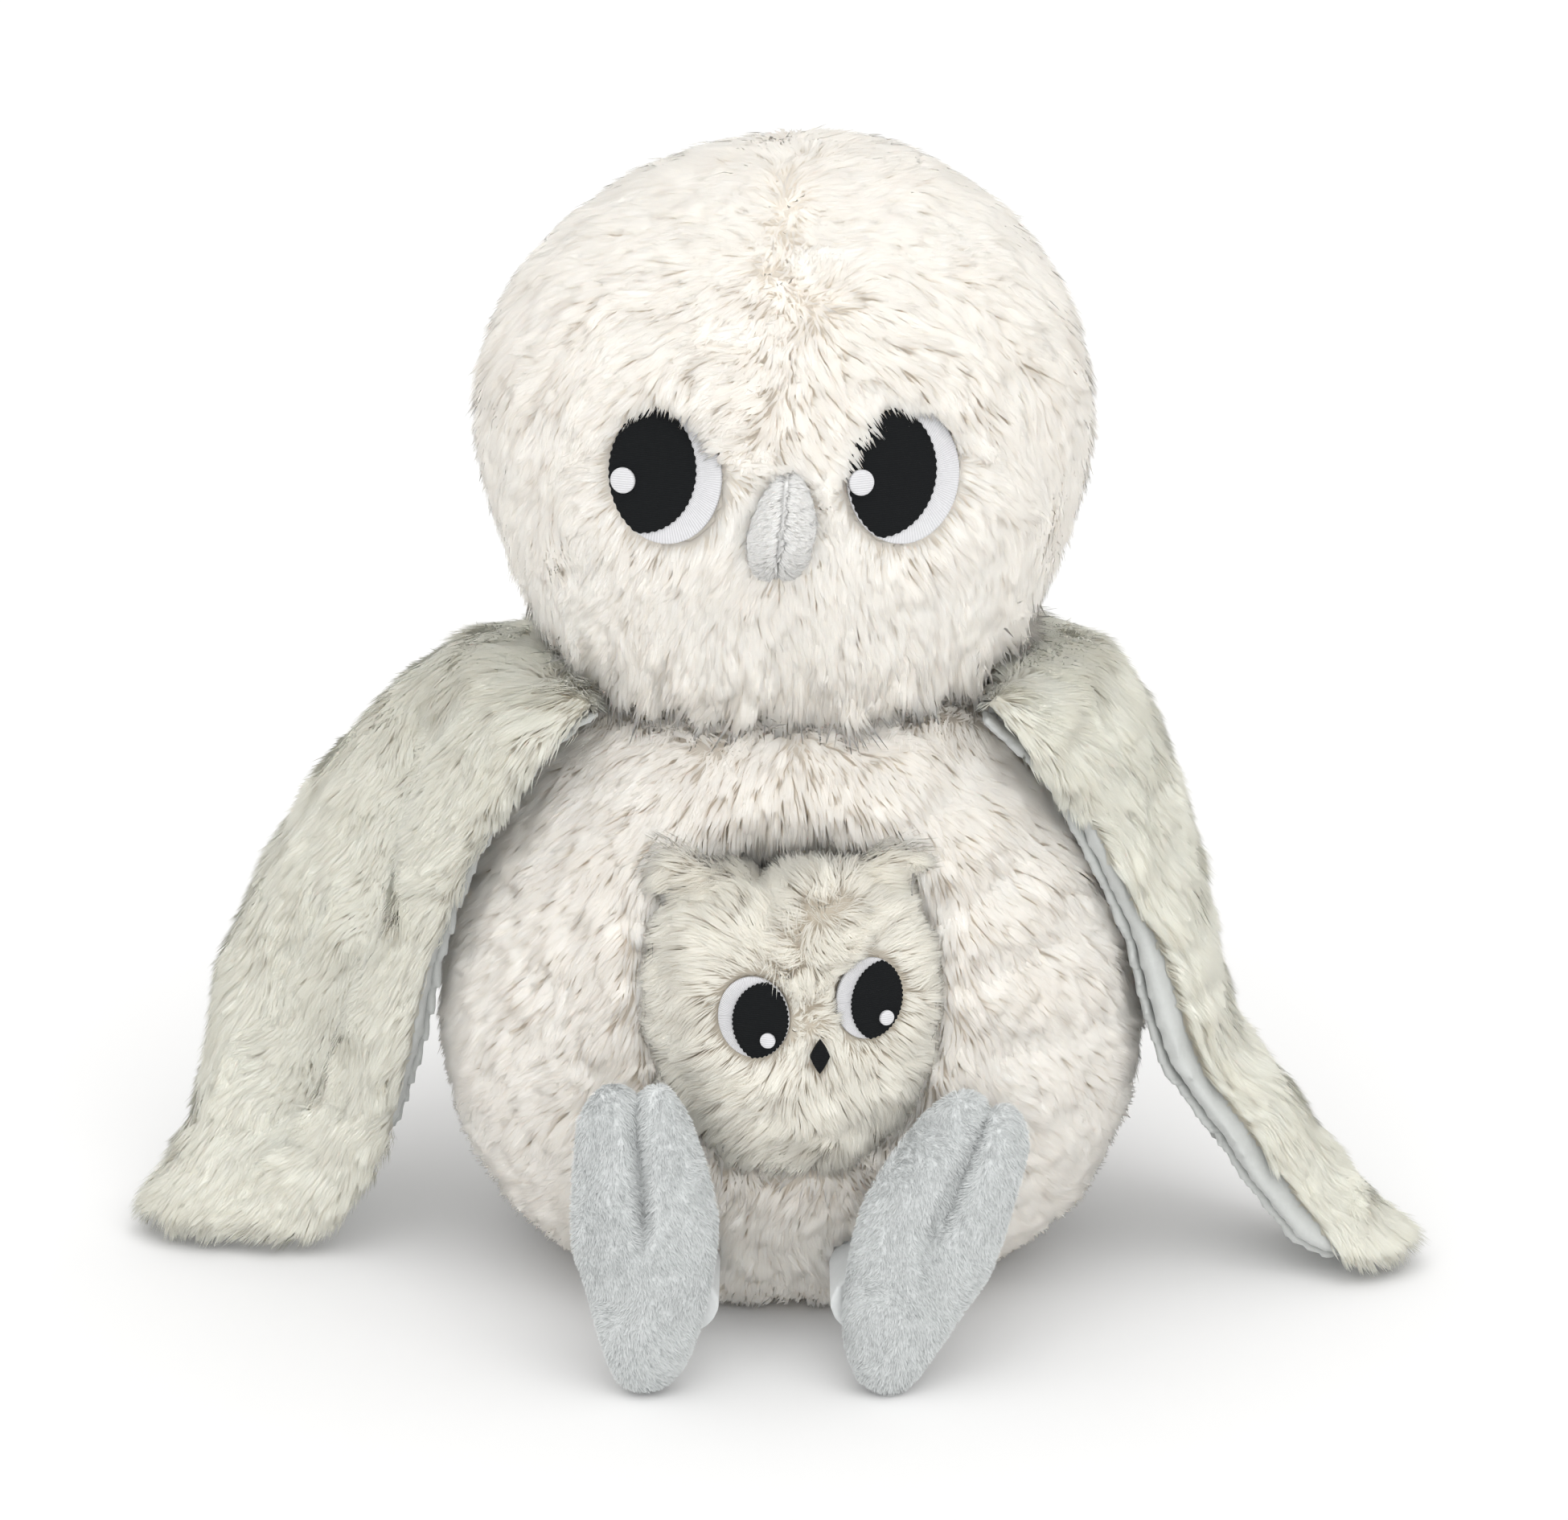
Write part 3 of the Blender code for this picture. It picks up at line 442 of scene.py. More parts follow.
def unit(vectors):
    return vectors / np.maximum(np.linalg.norm(vectors, axis=1, keepdims=True), 1e-9)


def near(places, heart, radius):
    """1 at a place and less the further off, with half of it gone at about 0.8 of the radius."""
    return np.exp(-(np.linalg.norm(places - heart, axis=1) / radius) ** 2)


def tree_of(node):
    """A search tree of a CAD solid's faces."""
    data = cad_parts[node].data
    data.calc_loop_triangles()
    return BVHTree.FromPolygons(
        [vertex.co for vertex in data.vertices], [tuple(face.vertices) for face in data.loop_triangles])


def scatter(skin, count, room, rng):
    """Roots spread over a skin, their ways out, and the skin's own triangles that carry pile.

    room gives the share of pile at each place.
    """
    mesh = skin.data
    mesh.calc_loop_triangles()
    corners = np.empty(len(mesh.loop_triangles) * 3, dtype=np.int32)
    mesh.loop_triangles.foreach_get("vertices", corners)
    corners = corners.reshape(-1, 3)
    places, normals = points(skin), ways_out(skin)
    first, second, third = (places[corners[:, k]] for k in range(3))
    area = np.linalg.norm(np.cross(second - first, third - first), axis=1)
    middle = (first + second + third) / 3
    facing = unit(np.cross(second - first, third - first))
    grown = room(middle, facing)
    weight = area * grown
    faces = rng.choice(len(corners), count, p=weight / weight.sum())
    a, b = rng.random((2, count, 1))
    over = (a + b) > 1
    a[over], b[over] = 1 - a[over], 1 - b[over]
    shares = (1 - a - b, a, b)
    roots = sum(share * places[corners[faces, k]] for k, share in enumerate(shares))
    out = unit(sum(share * normals[corners[faces, k]] for k, share in enumerate(shares)))
    keep = room(roots, out) > 0.02
    return roots[keep], out[keep], corners[grown > 0.02]


def leaders_of(roots, share, rng):
    """For each root, the number of the nearest of a few roots that its lock gathers round."""
    chosen = rng.choice(len(roots), max(8, int(len(roots) * share)), replace=False)
    tree = KDTree(len(chosen))
    for number in chosen:
        tree.insert(roots[number], int(number))
    tree.balance()
    return np.array([tree.find(root)[1] for root in roots])


def comb(roots, out, style, rng):
    """Lay the blades down the way the fabric lies, in locks: their middles, tips and tones."""
    count = len(roots)
    lie = style["lie"](roots, out) + waves(roots, 0.022, style["seed"]) * style["wander"]
    lie += waves(roots, 0.009, style["seed"] + 1) * style["wander"] * 0.5
    lie += rng.normal(size=(count, 3)) * 0.16
    lie = unit(lie - out * np.sum(lie * out, axis=1, keepdims=True))
    length = style["length"] * rng.uniform(0.75, 1.15, (count, 1)) * style["reach"](roots, out)
    ruffle = waves(roots, 0.012, style["seed"] + 2)[:, :1] * style["ruffle"]
    ruffle += 14 * np.clip((out[:, 2:] - 0.4) / 0.4, 0, 1) - 22 * np.clip((-out[:, 2:] - 0.3) / 0.4, 0, 1)
    ruffle -= style["stand"](roots, out)
    low, high = (
        np.radians(np.clip(angle + ruffle + rng.normal(0, 6, (count, 1)), 5, 84)) for angle in style["lean"])
    middle = roots + (out * np.cos(low) + lie * np.sin(low)) * length * 0.5
    tip = middle + (out * np.cos(high) + lie * np.sin(high)) * length * 0.5
    tone = rng.random(count)
    if style["pull"]:
        leader = leaders_of(roots, style["locks"], rng)
        gather = roots[leader] - roots
        drawn = tip[leader] - gather * 0.25 - tip
        tip += drawn * style["pull"]
        middle += (middle[leader] - gather * 0.6 - middle) * style["pull"] * 0.5
        tone = tone * 0.55 + tone[leader] * 0.45
    tip[:, 2] = np.maximum(tip[:, 2], 0.0004)
    middle[:, 2] = np.maximum(middle[:, 2], 0.0004)
    return middle, tip, tone


def grow_pile(name, skin, style, material, body):
    """Blades of pile on a skin, each a tapered strip, with the skin's own ground cloth below them."""
    rng = np.random.default_rng(style["seed"])
    roots, out, ground = scatter(skin, style["count"], style["room"], rng)
    middle, tip, tone = comb(roots, out, style, rng)
    count = len(roots)
    side = unit(np.cross(tip - roots, out) + rng.normal(size=(count, 3)) * 0.0012)
    half = side * (style["width"] / 2) * rng.uniform(0.7, 1.3, (count, 1))
    if style["short"]:
        rows = (roots - half, roots + half, tip)
        faces = ((0, 1, 2),)
        place = ((0, 0.02), (1, 0.02), (0.5, 0.98))
    else:
        rows = (roots, middle - half, middle + half, tip)
        faces = ((0, 2, 1), (1, 2, 3))
        place = ((0.5, 0.02), (0, 0.5), (1, 0.5), (0.5, 0.98))
    size = len(rows)
    corners = np.array(faces).ravel()
    loops = (np.arange(count)[:, None] * size + corners[None, :]).ravel()
    spots = np.stack(rows, axis=1).reshape(-1, 3)
    if style["ground"]:
        used, ground = np.unique(ground, return_inverse=True)
        cloth = points(skin)[used] + ways_out(skin)[used] * 0.00015
        loops = np.concatenate((loops, ground.ravel() + len(spots)))
        spots = np.concatenate((spots, cloth))
    mesh = bpy.data.meshes.new(name)
    mesh.vertices.add(len(spots))
    mesh.loops.add(len(loops))
    mesh.polygons.add(len(loops) // 3)
    mesh.vertices.foreach_set("co", spots.astype(np.float32).ravel())
    mesh.loops.foreach_set("vertex_index", loops.astype(np.int32))
    mesh.polygons.foreach_set("loop_start", np.arange(0, len(loops), 3, dtype=np.int32))
    across = np.array([place[corner][0] for corner in corners])
    along = np.array([place[corner][1] for corner in corners])
    uv = np.empty((count, len(corners), 2))
    uv[:, :, 0] = tone[:, None] * 0.96 + 0.01 + across * 0.02
    uv[:, :, 1] = along
    uv = uv.reshape(-1, 2)
    if len(uv) < len(loops):
        patch = np.array(((0.45, 0.02), (0.55, 0.02), (0.5, 0.07)))
        uv = np.concatenate((uv, np.tile(patch, ((len(loops) - len(uv)) // 3, 1))))
    mesh.uv_layers.new(name="OFBake").data.foreach_set("uv", uv.astype(np.float32).ravel())
    mesh.update()
    mesh.shade_smooth()
    if style["ground"]:
        shine = unit(np.cross(side, tip - roots))
        shine *= np.sign(np.sum(shine * out, axis=1, keepdims=True))
        shine = np.repeat(unit(out + shine * style["grain"]), size, axis=0)
        shine = np.concatenate((shine, ways_out(skin)[used]))
        mesh.normals_split_custom_set(shine[loops].astype(np.float32))
    mesh.materials.append(material)
    pile = bpy.data.objects.new(name, mesh)
    bpy.context.collection.objects.link(pile)
    if body:
        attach(pile, body)
    return pile


def everywhere(places, out):
    """Full cover of pile."""
    return np.ones(len(places))


def no_stand(places, out):
    """No degrees of extra stand."""
    return np.zeros((len(places), 1))


def full_length(places, out):
    """Pile of its full length."""
    return np.ones((len(places), 1))


def long_pile(seed, count, length, lie, room=everywhere, reach=full_length, **changes):
    """A style of pile.

    lie, room, reach and stand are functions of roots and ways out: the way that the pile lies, its
    share of cover, its share of length and the degrees that it stands up by. lean holds the
    degrees off upright of a blade's lower and upper half. ruffle, wander, pull and locks disturb
    it, and grain is how far each blade shows in the shading.
    """
    style = {
        "seed": seed, "count": count, "length": length, "lie": lie, "room": room, "reach": reach,
        "lean": (51, 74), "ruffle": 5, "wander": 0.28, "pull": 0.35, "locks": 0.05, "short": False,
        "width": bpy.context.scene.owl_sizes.blade, "ground": True, "grain": 0.6, "stand": no_stand,
    }
    style.update(changes)
    return style


def grow_coats(name, skin, heart, seed, blades, length, lie, room, reach, material, body, **changes):
    """A dense coat for the front, and a thinner one that takes over behind the outline.

    heart is the height of the form's middle, and the outline is that of the view from the front.
    """
    def front(roots):
        return np.clip((COAT_EDGE + COAT_SLOPE * (roots[:, 2] - heart) - roots[:, 1]) / COAT_BLEND, 0, 1)

    def front_room(roots, out):
        return room(roots, out) * front(roots)

    def back_room(roots, out):
        return room(roots, out) * (1 - front(roots))

    coats = (("front", 1.0, front_room), ("back", COAT_BACK, back_room))
    for number, (panel, crowd, cover) in enumerate(coats):
        count = int(blades[0] * crowd * blades[1])
        style = long_pile(seed + number, count, length, lie, cover, reach, **changes)
        grow_pile(f"{name}_{panel}", skin, style, material, body)


def flat_axes(node):
    """Points of a flat solid, its long axis, and the axis that points out to the front."""
    places = np.array([vertex.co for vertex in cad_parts[node].data.vertices])
    axes = np.linalg.svd(places - places.mean(0), full_matrices=False)[2]
    return places, axes[0], axes[2] if axes[2][1] < 0 else -axes[2]


def patch_frame(node):
    """Middle, across, up, out and the half sizes of a flat oval patch solid."""
    places, _, out = flat_axes(node)
    middle = (places.max(0) + places.min(0)) / 2
    across = np.cross((0, 0, 1), out)
    across /= np.linalg.norm(across)
    up = np.cross(out, across)
    half = [np.ptp((places - middle) @ axis) / 2 for axis in (across, up)]
    top = ((places - middle) @ out).max()
    return middle + out * top, across, up, out, half


def round_patch(places, patch, grow):
    """How far places lie outside a patch's rim, as a share of its size: below 1 is inside."""
    middle, across, up, out, half = patch
    offset = places - middle
    flat = np.hypot(offset @ across / (half[0] + grow), offset @ up / (half[1] + grow))
    return np.where(np.abs(offset @ out) < 0.02, flat, 9)


def press_seat(skin, patch, depth):
    """Push a cover back under a patch so that the patch lies on it."""
    middle, _, _, out, _ = patch
    places = points(skin)
    share = round_patch(places, patch, 0.003)
    level = (places - middle) @ out
    sink = np.clip((1.15 - share) / 0.3, 0, 1)
    inside = (share < 1.15) & (level > -depth)
    places[inside] -= out * ((level[inside] + depth) * sink[inside])[:, None]
    place_points(skin, places)


def lens(rim, shift, radii, steps):
    """The part of the unit circle inside a second oval: an outline of unit shares."""
    outline = []
    inner = np.array(shift) * 0.45
    for step in range(steps):
        angle = math.tau * step / steps
        way = np.array((math.cos(angle), math.sin(angle)))
        low, high = 0.0, 2.2
        for _ in range(24):
            middle = (low + high) / 2
            point = inner + way * middle
            inside = np.hypot(*point) < rim and np.hypot(*((point - shift) / radii)) < 1
            low, high = (middle, high) if inside else (low, middle)
        outline.append(inner + way * low)
    return np.array(outline), inner


def stitch_patch(name, patch, outline, heart, material, body, nodes, rise, dome, teeth=0.0):
    """A domed patch of satin stitch with a stepped rim, laid rise above the patch solid's face."""
    middle, across, up, out, half = patch
    mesh = bmesh.new()
    layer = mesh.loops.layers.uv.new("Stitch")
    count = len(outline)
    flat = outline * half
    heart = np.array(heart) * half
    tooth = np.where(np.arange(count) % 4 < 2, teeth, -teeth)[:, None]
    rim = flat + (flat - heart) / np.linalg.norm(flat - heart, axis=1)[:, None] * tooth
    levels = ((1.0, -0.0009), (1.0, -0.00012), (0.975, 0.0), (0.80, dome * 0.5), (0.5, dome * 0.9))
    rows = []
    for share, height in levels:
        ring = heart + (rim - heart) * share
        rows.append([
            (x, y, mesh.verts.new(middle + across * x + up * y + out * (rise + height)))
            for x, y in ring
        ])
    tops = [(*heart, mesh.verts.new(middle + across * heart[0] + up * heart[1] + out * (rise + dome)))]
    faces = []
    for lower, upper in zip(rows, rows[1:]):
        for k in range(count):
            faces.append((lower[k - 1], lower[k], upper[k], upper[k - 1]))
    for k in range(count):
        faces.append((rows[-1][k - 1], rows[-1][k], tops[0]))
    faces.append(tuple(rows[0][::-1]))
    for corners in faces:
        face = mesh.faces.new([corner[2] for corner in corners])
        for loop, corner in zip(face.loops, corners):
            loop[layer].uv = corner[:2]
    bmesh.ops.recalc_face_normals(mesh, faces=mesh.faces)
    data = bpy.data.meshes.new(name)
    mesh.to_mesh(data)
    mesh.free()
    piece = bpy.data.objects.new(name, data)
    bpy.context.collection.objects.link(piece)
    return settle(piece, material, body, nodes, levels=0)


def part_toes(foot, sole):
    """Draw a foot in along the stitched slit between its toes."""
    _, up, out = flat_axes(sole)
    up = up if up[2] > 0 else -up
    places = points(foot)
    middle = (places.max(0) + places.min(0)) / 2
    across = np.cross(up, out)
    offset = places - middle
    side, rise, level = offset @ across, offset @ up, offset @ out
    share = rise / rise.max()
    bins = np.linspace(-1, 1, 25)
    widths = [np.abs(side[np.abs(share - at) < 0.06]).max() for at in bins]
    toe = np.interp(share, bins, widths) / 2
    bulge = np.sqrt(np.clip(1 - np.abs((np.abs(side) - toe) / toe) ** 3.5, 0.02, 1))
    split = np.clip(share / 0.18, 0, 1)
    level_new = level * (1 - split + split * (0.12 + bulge))
    off = np.clip((np.abs(side) - toe) / toe, -1, 1)
    notch = (1 - np.sqrt(1 - off ** 2 * 0.96)) * toe * np.clip((share - 0.72) / 0.28, 0, 1)
    places += np.outer(level_new - level, out) - np.outer(notch, up)
    place_points(foot, places)
    finish_with(foot, "SMOOTH", factor=0.5, iterations=1)


class OWL_OT_stage(Operator):
    """White floor, soft daylight and the camera"""

    bl_idname = "owl.stage"
    bl_label = "Stage"

    def execute(self, context):
        scene = context.scene
        scene.view_settings.view_transform = "Standard"
        pick()
        bpy.ops.mesh.primitive_plane_add(size=12, location=(0, 2, 0))
        floor = context.object
        floor.name = "studio_floor"
        sheet = Finish("white_floor")
        sheet.set(Base_Color=(0.93, 0.93, 0.93, 1), Roughness=1.0, Specular_IOR_Level=0.0)
        floor.data.materials.append(sheet.material)

        world = bpy.data.worlds.new("daylight")
        scene.world = world
        world.use_nodes = True
        tree = world.node_tree
        tree.nodes["Background"].inputs["Color"].default_value = (1.0, 0.995, 0.985, 1)
        tree.nodes["Background"].inputs["Strength"].default_value = DAYLIGHT
        paths = tree.nodes.new("ShaderNodeLightPath")
        seen = tree.nodes.new("ShaderNodeBackground")
        mix = tree.nodes.new("ShaderNodeMixShader")
        tree.links.new(paths.outputs["Is Camera Ray"], mix.inputs[0])
        tree.links.new(tree.nodes["Background"].outputs[0], mix.inputs[1])
        tree.links.new(seen.outputs[0], mix.inputs[2])
        tree.links.new(mix.outputs[0], tree.nodes["World Output"].inputs["Surface"])
        seen.inputs["Color"].default_value = (1, 1, 1, 1)

        for name, strength, way, spread in LAMPS:
            bpy.ops.object.light_add(type="SUN", location=(0, 0, 1))
            lamp = context.object
            lamp.name = name
            lamp.data.energy = strength
            lamp.data.angle = math.radians(spread)
            lamp.rotation_euler = Vector(way).to_track_quat("Z", "Y").to_euler()

        rise = math.radians(CAMERA_RISE)
        place = (CAMERA_AIM[0], CAMERA_AIM[1] - math.cos(rise), CAMERA_AIM[2] + math.sin(rise))
        bpy.ops.object.camera_add(location=place)
        camera = context.object
        camera.rotation_euler = (math.radians(90 - CAMERA_RISE), 0, 0)
        camera.data.sensor_width = 36
        camera.data.lens = CAMERA_LENS
        camera.data.clip_start = 0.05
        scene.camera = camera
        return {"FINISHED"}


class OWL_OT_head(Operator):
    """The mother's head cover and its pile"""

    bl_idname = "owl.head"
    bl_label = "Head"

    def execute(self, context):
        sizes, colours = context.scene.owl_sizes, context.scene.owl_colours
        nodes = ("head_left", "head_right", "head_stuffing")
        skin = one_skin(from_solids("head_cover", nodes), voxel=0.0030, inward=0.0004)
        fill_out(skin, pressure=4, cap=0.0015)
        patches = [patch_frame(f"eye_white_{side}") for side in SIDES]
        places = points(skin)
        seam = np.exp(-((places[:, 0] - NECK.x - 0.002) / 0.0035) ** 2)
        front = places[:, 1] < -0.02
        rise = places[:, 2]
        crease = np.exp(-((rise - 0.201) / 0.012) ** 2) * 0.0020
        crease += np.exp(-((rise - 0.142) / 0.012) ** 2) * 0.0040
        places -= ways_out(skin) * (seam * front * crease)[:, None]
        place_points(skin, places)
        for patch in patches:
            press_seat(skin, patch, SEAT)
        # The backing takes the white root colour, which is partly painted warm shade of the gaps between
        # locks
        backing = backing_finish("white_backing", colours.white_root_and_shade)
        settle(skin, backing, "head", nodes)

        def room(roots, out):
            share = np.ones(len(roots))
            for patch in patches:
                share *= round_patch(roots, patch, 0.0002) > 1
            middle, across, up, face, half = patches[1]
            offset = (roots - middle) @ np.stack((across / half[0], up / half[1]), 1)
            brow = (offset[:, 1] - offset[:, 0] * BROW_SLOPE > BROW_RISE) & (offset[:, 1] < 1.1)
            brow &= (np.abs(offset[:, 0]) < 1.1) & (np.abs((roots - middle) @ face) < 0.01)
            return np.where(brow, 1.0, share)

        def reach(roots, out):
            length = np.ones(len(roots))
            for patch in patches:
                middle, _, up, _, half = patch
                rim = round_patch(roots, patch, 0)
                above = (roots - middle) @ up > half[1] * 0.1
                rise = np.clip((rim - 1.0) / 0.25, 0, 1)
                length *= np.where(above, 0.52 + 0.48 * rise, 0.42 + 0.58 * rise)
            length = np.where(near(roots - patches[1][0], BROW_HEART, 0.009) > 0.3, 0.78, length)
            beak = np.linalg.norm((roots - np.array(BEAK_MIDDLE)) * (1, 0.6, 0.62), axis=1)
            length *= np.clip(0.45 + beak / 0.022, 0.45, 1)
            tufts = 0.25 + waves(roots, 0.007, 8)[:, 0] * 0.3 + (waves(roots, 0.0022, 9)[:, 0] > 0.9) * 0.9
            length *= 1 + tufts * np.clip((0.150 - roots[:, 2]) / 0.014, 0, 1)
            return length[:, None]

        def lie(roots, out):
            offset = roots - np.array(BEAK_MIDDLE)
            far = np.linalg.norm(offset, axis=1, keepdims=True)
            crown = np.clip((roots[:, 2] - 0.195) / 0.025, 0, 1)
            parted = np.tanh((roots[:, 0] - NECK.x) / 0.006) * 0.8
            way = np.stack((roots[:, 0] * 6 + parted * crown, crown * 0.45 - 0.1, crown * 0.3 - 0.87), 1)
            way = way + unit(offset) * 1.6 * np.exp(-far / 0.022)
            for patch in patches:
                middle, _, up, _, half = patch
                away = roots - middle
                rim = round_patch(roots, patch, 0)[:, None]
                above = ((away @ up) > half[1] * 0.35)[:, None]
                push = np.exp(-np.clip(rim - 1, 0, 9) / 0.35)
                way = way + np.where(above, np.array((0, 0, -0.8)), unit(away) * 2.0) * push
            brow = near(roots - patches[1][0], BROW_HEART, 0.010)
            return way + brow[:, None] * np.array((2.2, 0, -2.2))

        # The pile's roots are partly painted warm shade of the gaps between locks
        pile = pile_finish("white_pile", colours.white_root_and_shade, colours.white_tip)
        grow_coats("head_pile", skin, 0.175, 10, (sizes.blades, 1.0), sizes.head_pile, lie, room, reach,
                   pile, "head")
        return {"FINISHED"}


class OWL_OT_body(Operator):
    """The mother's body cover, its pile, and the pouch's lining"""

    bl_idname = "owl.body"
    bl_label = "Body"

    def execute(self, context):
        sizes, colours = context.scene.owl_sizes, context.scene.owl_colours
        nodes = ("body_front_left", "body_front_right", "body_back", "body_base", "body_stuffing")
        skin = one_skin(from_solids("body_cover", nodes), voxel=0.0030, inward=0.0002)
        fill_out(skin, pressure=4, cap=0.0010)
        bag = tree_of("pouch_lining")

        def off_mouth(places, out):
            """Distance from the pouch's cloth, and whether the skin faces that cloth."""
            far, facing = np.full(len(places), 0.05), np.zeros(len(places), dtype=bool)
            for number in np.flatnonzero(places[:, 1] < 0.010):
                spot, _, _, gap = bag.find_nearest(places[number])
                far[number] = gap
                facing[number] = gap < 0.008 and (np.array(spot) - places[number]) @ out[number] > gap * 0.5
            return far, facing

        places, out = points(skin), ways_out(skin)
        far, facing = off_mouth(places, out)
        front = ~facing & (out[:, 1] < -0.2)
        lip = np.exp(-(far / 0.008) ** 2) * 0.0030
        turn = np.arctan2(places[:, 2] - MOUTH[2], places[:, 0] - MOUTH[0])
        right = np.clip(np.cos(turn - 0.35), 0, 1) ** 2
        folds = np.cos(turn * 17 + far * 40) * np.exp(-((far - 0.014) / 0.010) ** 2) * right * 0.0016
        places[front] += (out * (lip + folds)[:, None])[front]
        place_points(skin, places)
        # The backing takes the white root colour, which is partly painted warm shade of the gaps between
        # locks
        backing = backing_finish("belly_backing", colours.white_root_and_shade)
        settle(skin, backing, "body", (*nodes, "bean_bag"))

        lining = from_solids("pouch_cloth", ("pouch_lining",))
        cloth = backing_finish("pouch_cotton", colours.pouch)
        finish_with(lining, "REMESH", mode="VOXEL", voxel_size=0.0012)
        finish_with(lining, "SMOOTH", factor=0.5, iterations=6)
        settle(lining, cloth, "body", ("pouch_lining",), levels=0)

        def room(roots, out):
            share = np.ones(len(roots))
            share *= ~((roots[:, 2] < 0.004) & (out[:, 2] < -0.8))
            return share * ~off_mouth(roots, out)[1]

        def collar(roots):
            """How far the pile stands up against the chin."""
            return np.clip((roots[:, 2] - 0.118) / 0.008, 0, 1)

        def reach(roots, out):
            low = np.clip(roots[:, 2] / 0.02, 0.35, 1)
            lips = 1 + 0.35 * np.exp(-(off_mouth(roots, out)[0] / 0.006) ** 2)
            return (low * lips * (1 + 0.2 * collar(roots)))[:, None]

        def stand(roots, out):
            return 14 * collar(roots)[:, None]

        def lie(roots, out):
            side = np.stack((roots[:, 0] * 26, roots[:, 1] * 2, np.full(len(roots), -1.0)), 1)
            lips = np.exp(-(off_mouth(roots, out)[0] / 0.007) ** 2)
            inward = unit((MOUTH - roots) * (1, 0, 1))
            up = np.stack((roots[:, 0] * 8, np.full(len(roots), -0.7), np.ones(len(roots))), 1)
            ruff = collar(roots)[:, None]
            return side * (1 - ruff) + up * ruff * 1.5 + inward * (lips * 0.9)[:, None]

        # The pile's roots are partly painted warm shade of the gaps between locks
        pile = pile_finish("belly_pile", colours.white_root_and_shade, colours.white_tip)
        grow_coats("body_pile", skin, 0.065, 30, (sizes.blades, 0.92), sizes.body_pile, lie, room, reach,
                   pile, "body", stand=stand, width=sizes.blade * 1.1)
        return {"FINISHED"}


def seen(places):
    """Height and side place in the front view from 18 degrees above."""
    return places[:, 2] * math.cos(VIEW_TILT) + places[:, 1] * math.sin(VIEW_TILT), places[:, 0]


class OWL_OT_wings(Operator):
    """The wings: long pile outside, short-pile lining inside"""

    bl_idname = "owl.wings"
    bl_label = "Wings"

    def execute(self, context):
        sizes, colours = context.scene.owl_sizes, context.scene.owl_colours
        # The wing pile's darker roots and its backing are partly painted shade between the locks
        pile = pile_finish("wing_pile", colours.sage_root_and_shade, colours.sage_tip, glow=0.55, depth=0.004)
        backing = backing_finish("wing_backing", colours.sage_root_and_shade)
        # The lining cloth is a darker copy of the foot cloth: painted shade, because its strip faces in
        # toward the body
        shaded_lining_cloth = velboa_finish("wing_lining_shaded_cloth", colours.lining)
        for side, sign in SIDES.items():
            skin = from_solids(f"wing_{side}_cover", (f"wing_{side}_outer",))
            skin = one_skin(skin, voxel=0.0016, inward=0.0004, rounds=3)
            fill_out(skin, pressure=1.5, cap=0.0008)
            rise, across = seen(points(skin))
            bins = np.arange(rise.min(), rise.max(), 0.002)
            edge = np.array([
                (across * sign)[np.abs(rise - at) < 0.003].min() for at in bins])

            def bare(places, side=side, sign=sign, bins=bins, edge=edge):
                rise, across = seen(places)
                width = np.interp(rise, *np.array(STRIPS[side]).T)
                return (across * sign - np.interp(rise, bins, edge)) < width

            def crease(places, side=side):
                if side == "right":
                    return np.zeros(len(places))
                rise, across = seen(places)
                middle = np.interp(rise, *np.array(CREASE).T)
                fade = np.clip((rise - 0.018) / 0.01, 0, 1) * np.clip((0.118 - rise) / 0.01, 0, 1)
                return np.exp(-((across - middle) / CREASE_SIZE) ** 2) * fade

            places, out = points(skin), ways_out(skin)
            places -= out * (crease(places) * (out[:, 1] < 0) * CREASE_SIZE)[:, None]
            place_points(skin, places)
            lining = from_solids(
                f"wing_{side}_lining_pad", (f"wing_{side}_wadding", f"wing_{side}_lining"))
            lining = one_skin(lining, voxel=0.0016, inward=-0.0004, rounds=5)
            inner = tree_of(f"wing_{side}_lining")
            low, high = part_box(f"wing_{side}_outer")
            tip = Vector((low.x if sign < 0 else high.x, 0, 0.004))
            axis = np.array((tip - SHOULDERS[side]).normalized())

            def room(roots, out, inner=inner, bare=bare):
                share = np.ones(len(roots))
                for number, root in enumerate(roots):
                    gap = (root - np.array(inner.find_nearest(root)[0])) @ out[number]
                    if gap < -0.0006:
                        share[number] = 0
                return share * ~bare(roots + np.array((0.0008 * sign, 0, 0)))

            def reach(roots, out, bare=bare, crease=crease):
                near_strip = bare(roots + np.array((-0.002 * sign, 0, 0)))
                return (np.where(near_strip, 0.72, 1) * (1 - 0.55 * crease(roots)))[:, None]

            def lie(roots, out, axis=axis, sign=sign):
                return np.tile(axis, (len(roots), 1)) + np.array((0, -0.35, -0.25))

            style = long_pile(50 + sign, int(sizes.blades * 1.07), sizes.wing_pile, lie, room, reach,
                              lean=(46, 69), wander=0.5, pull=0.4, grain=1.0, width=0.00040)
            fur = grow_pile(f"wing_{side}_pile", skin, style, pile, None)
            settle(skin, backing, None, (f"wing_{side}_outer",))
            # The bare lining strips get the darker lining cloth, which is painted shade
            skin.data.materials.append(shaded_lining_cloth)
            middles = np.empty(len(skin.data.polygons) * 3)
            skin.data.polygons.foreach_get("center", middles)
            skin.data.polygons.foreach_set("material_index", bare(middles.reshape(-1, 3)).astype(np.int32))
            settle(lining, shaded_lining_cloth, None,
                   (f"wing_{side}_lining", f"wing_{side}_wadding"), levels=0)
            for piece in (skin, lining, fur):
                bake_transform(piece)
        return {"FINISHED"}


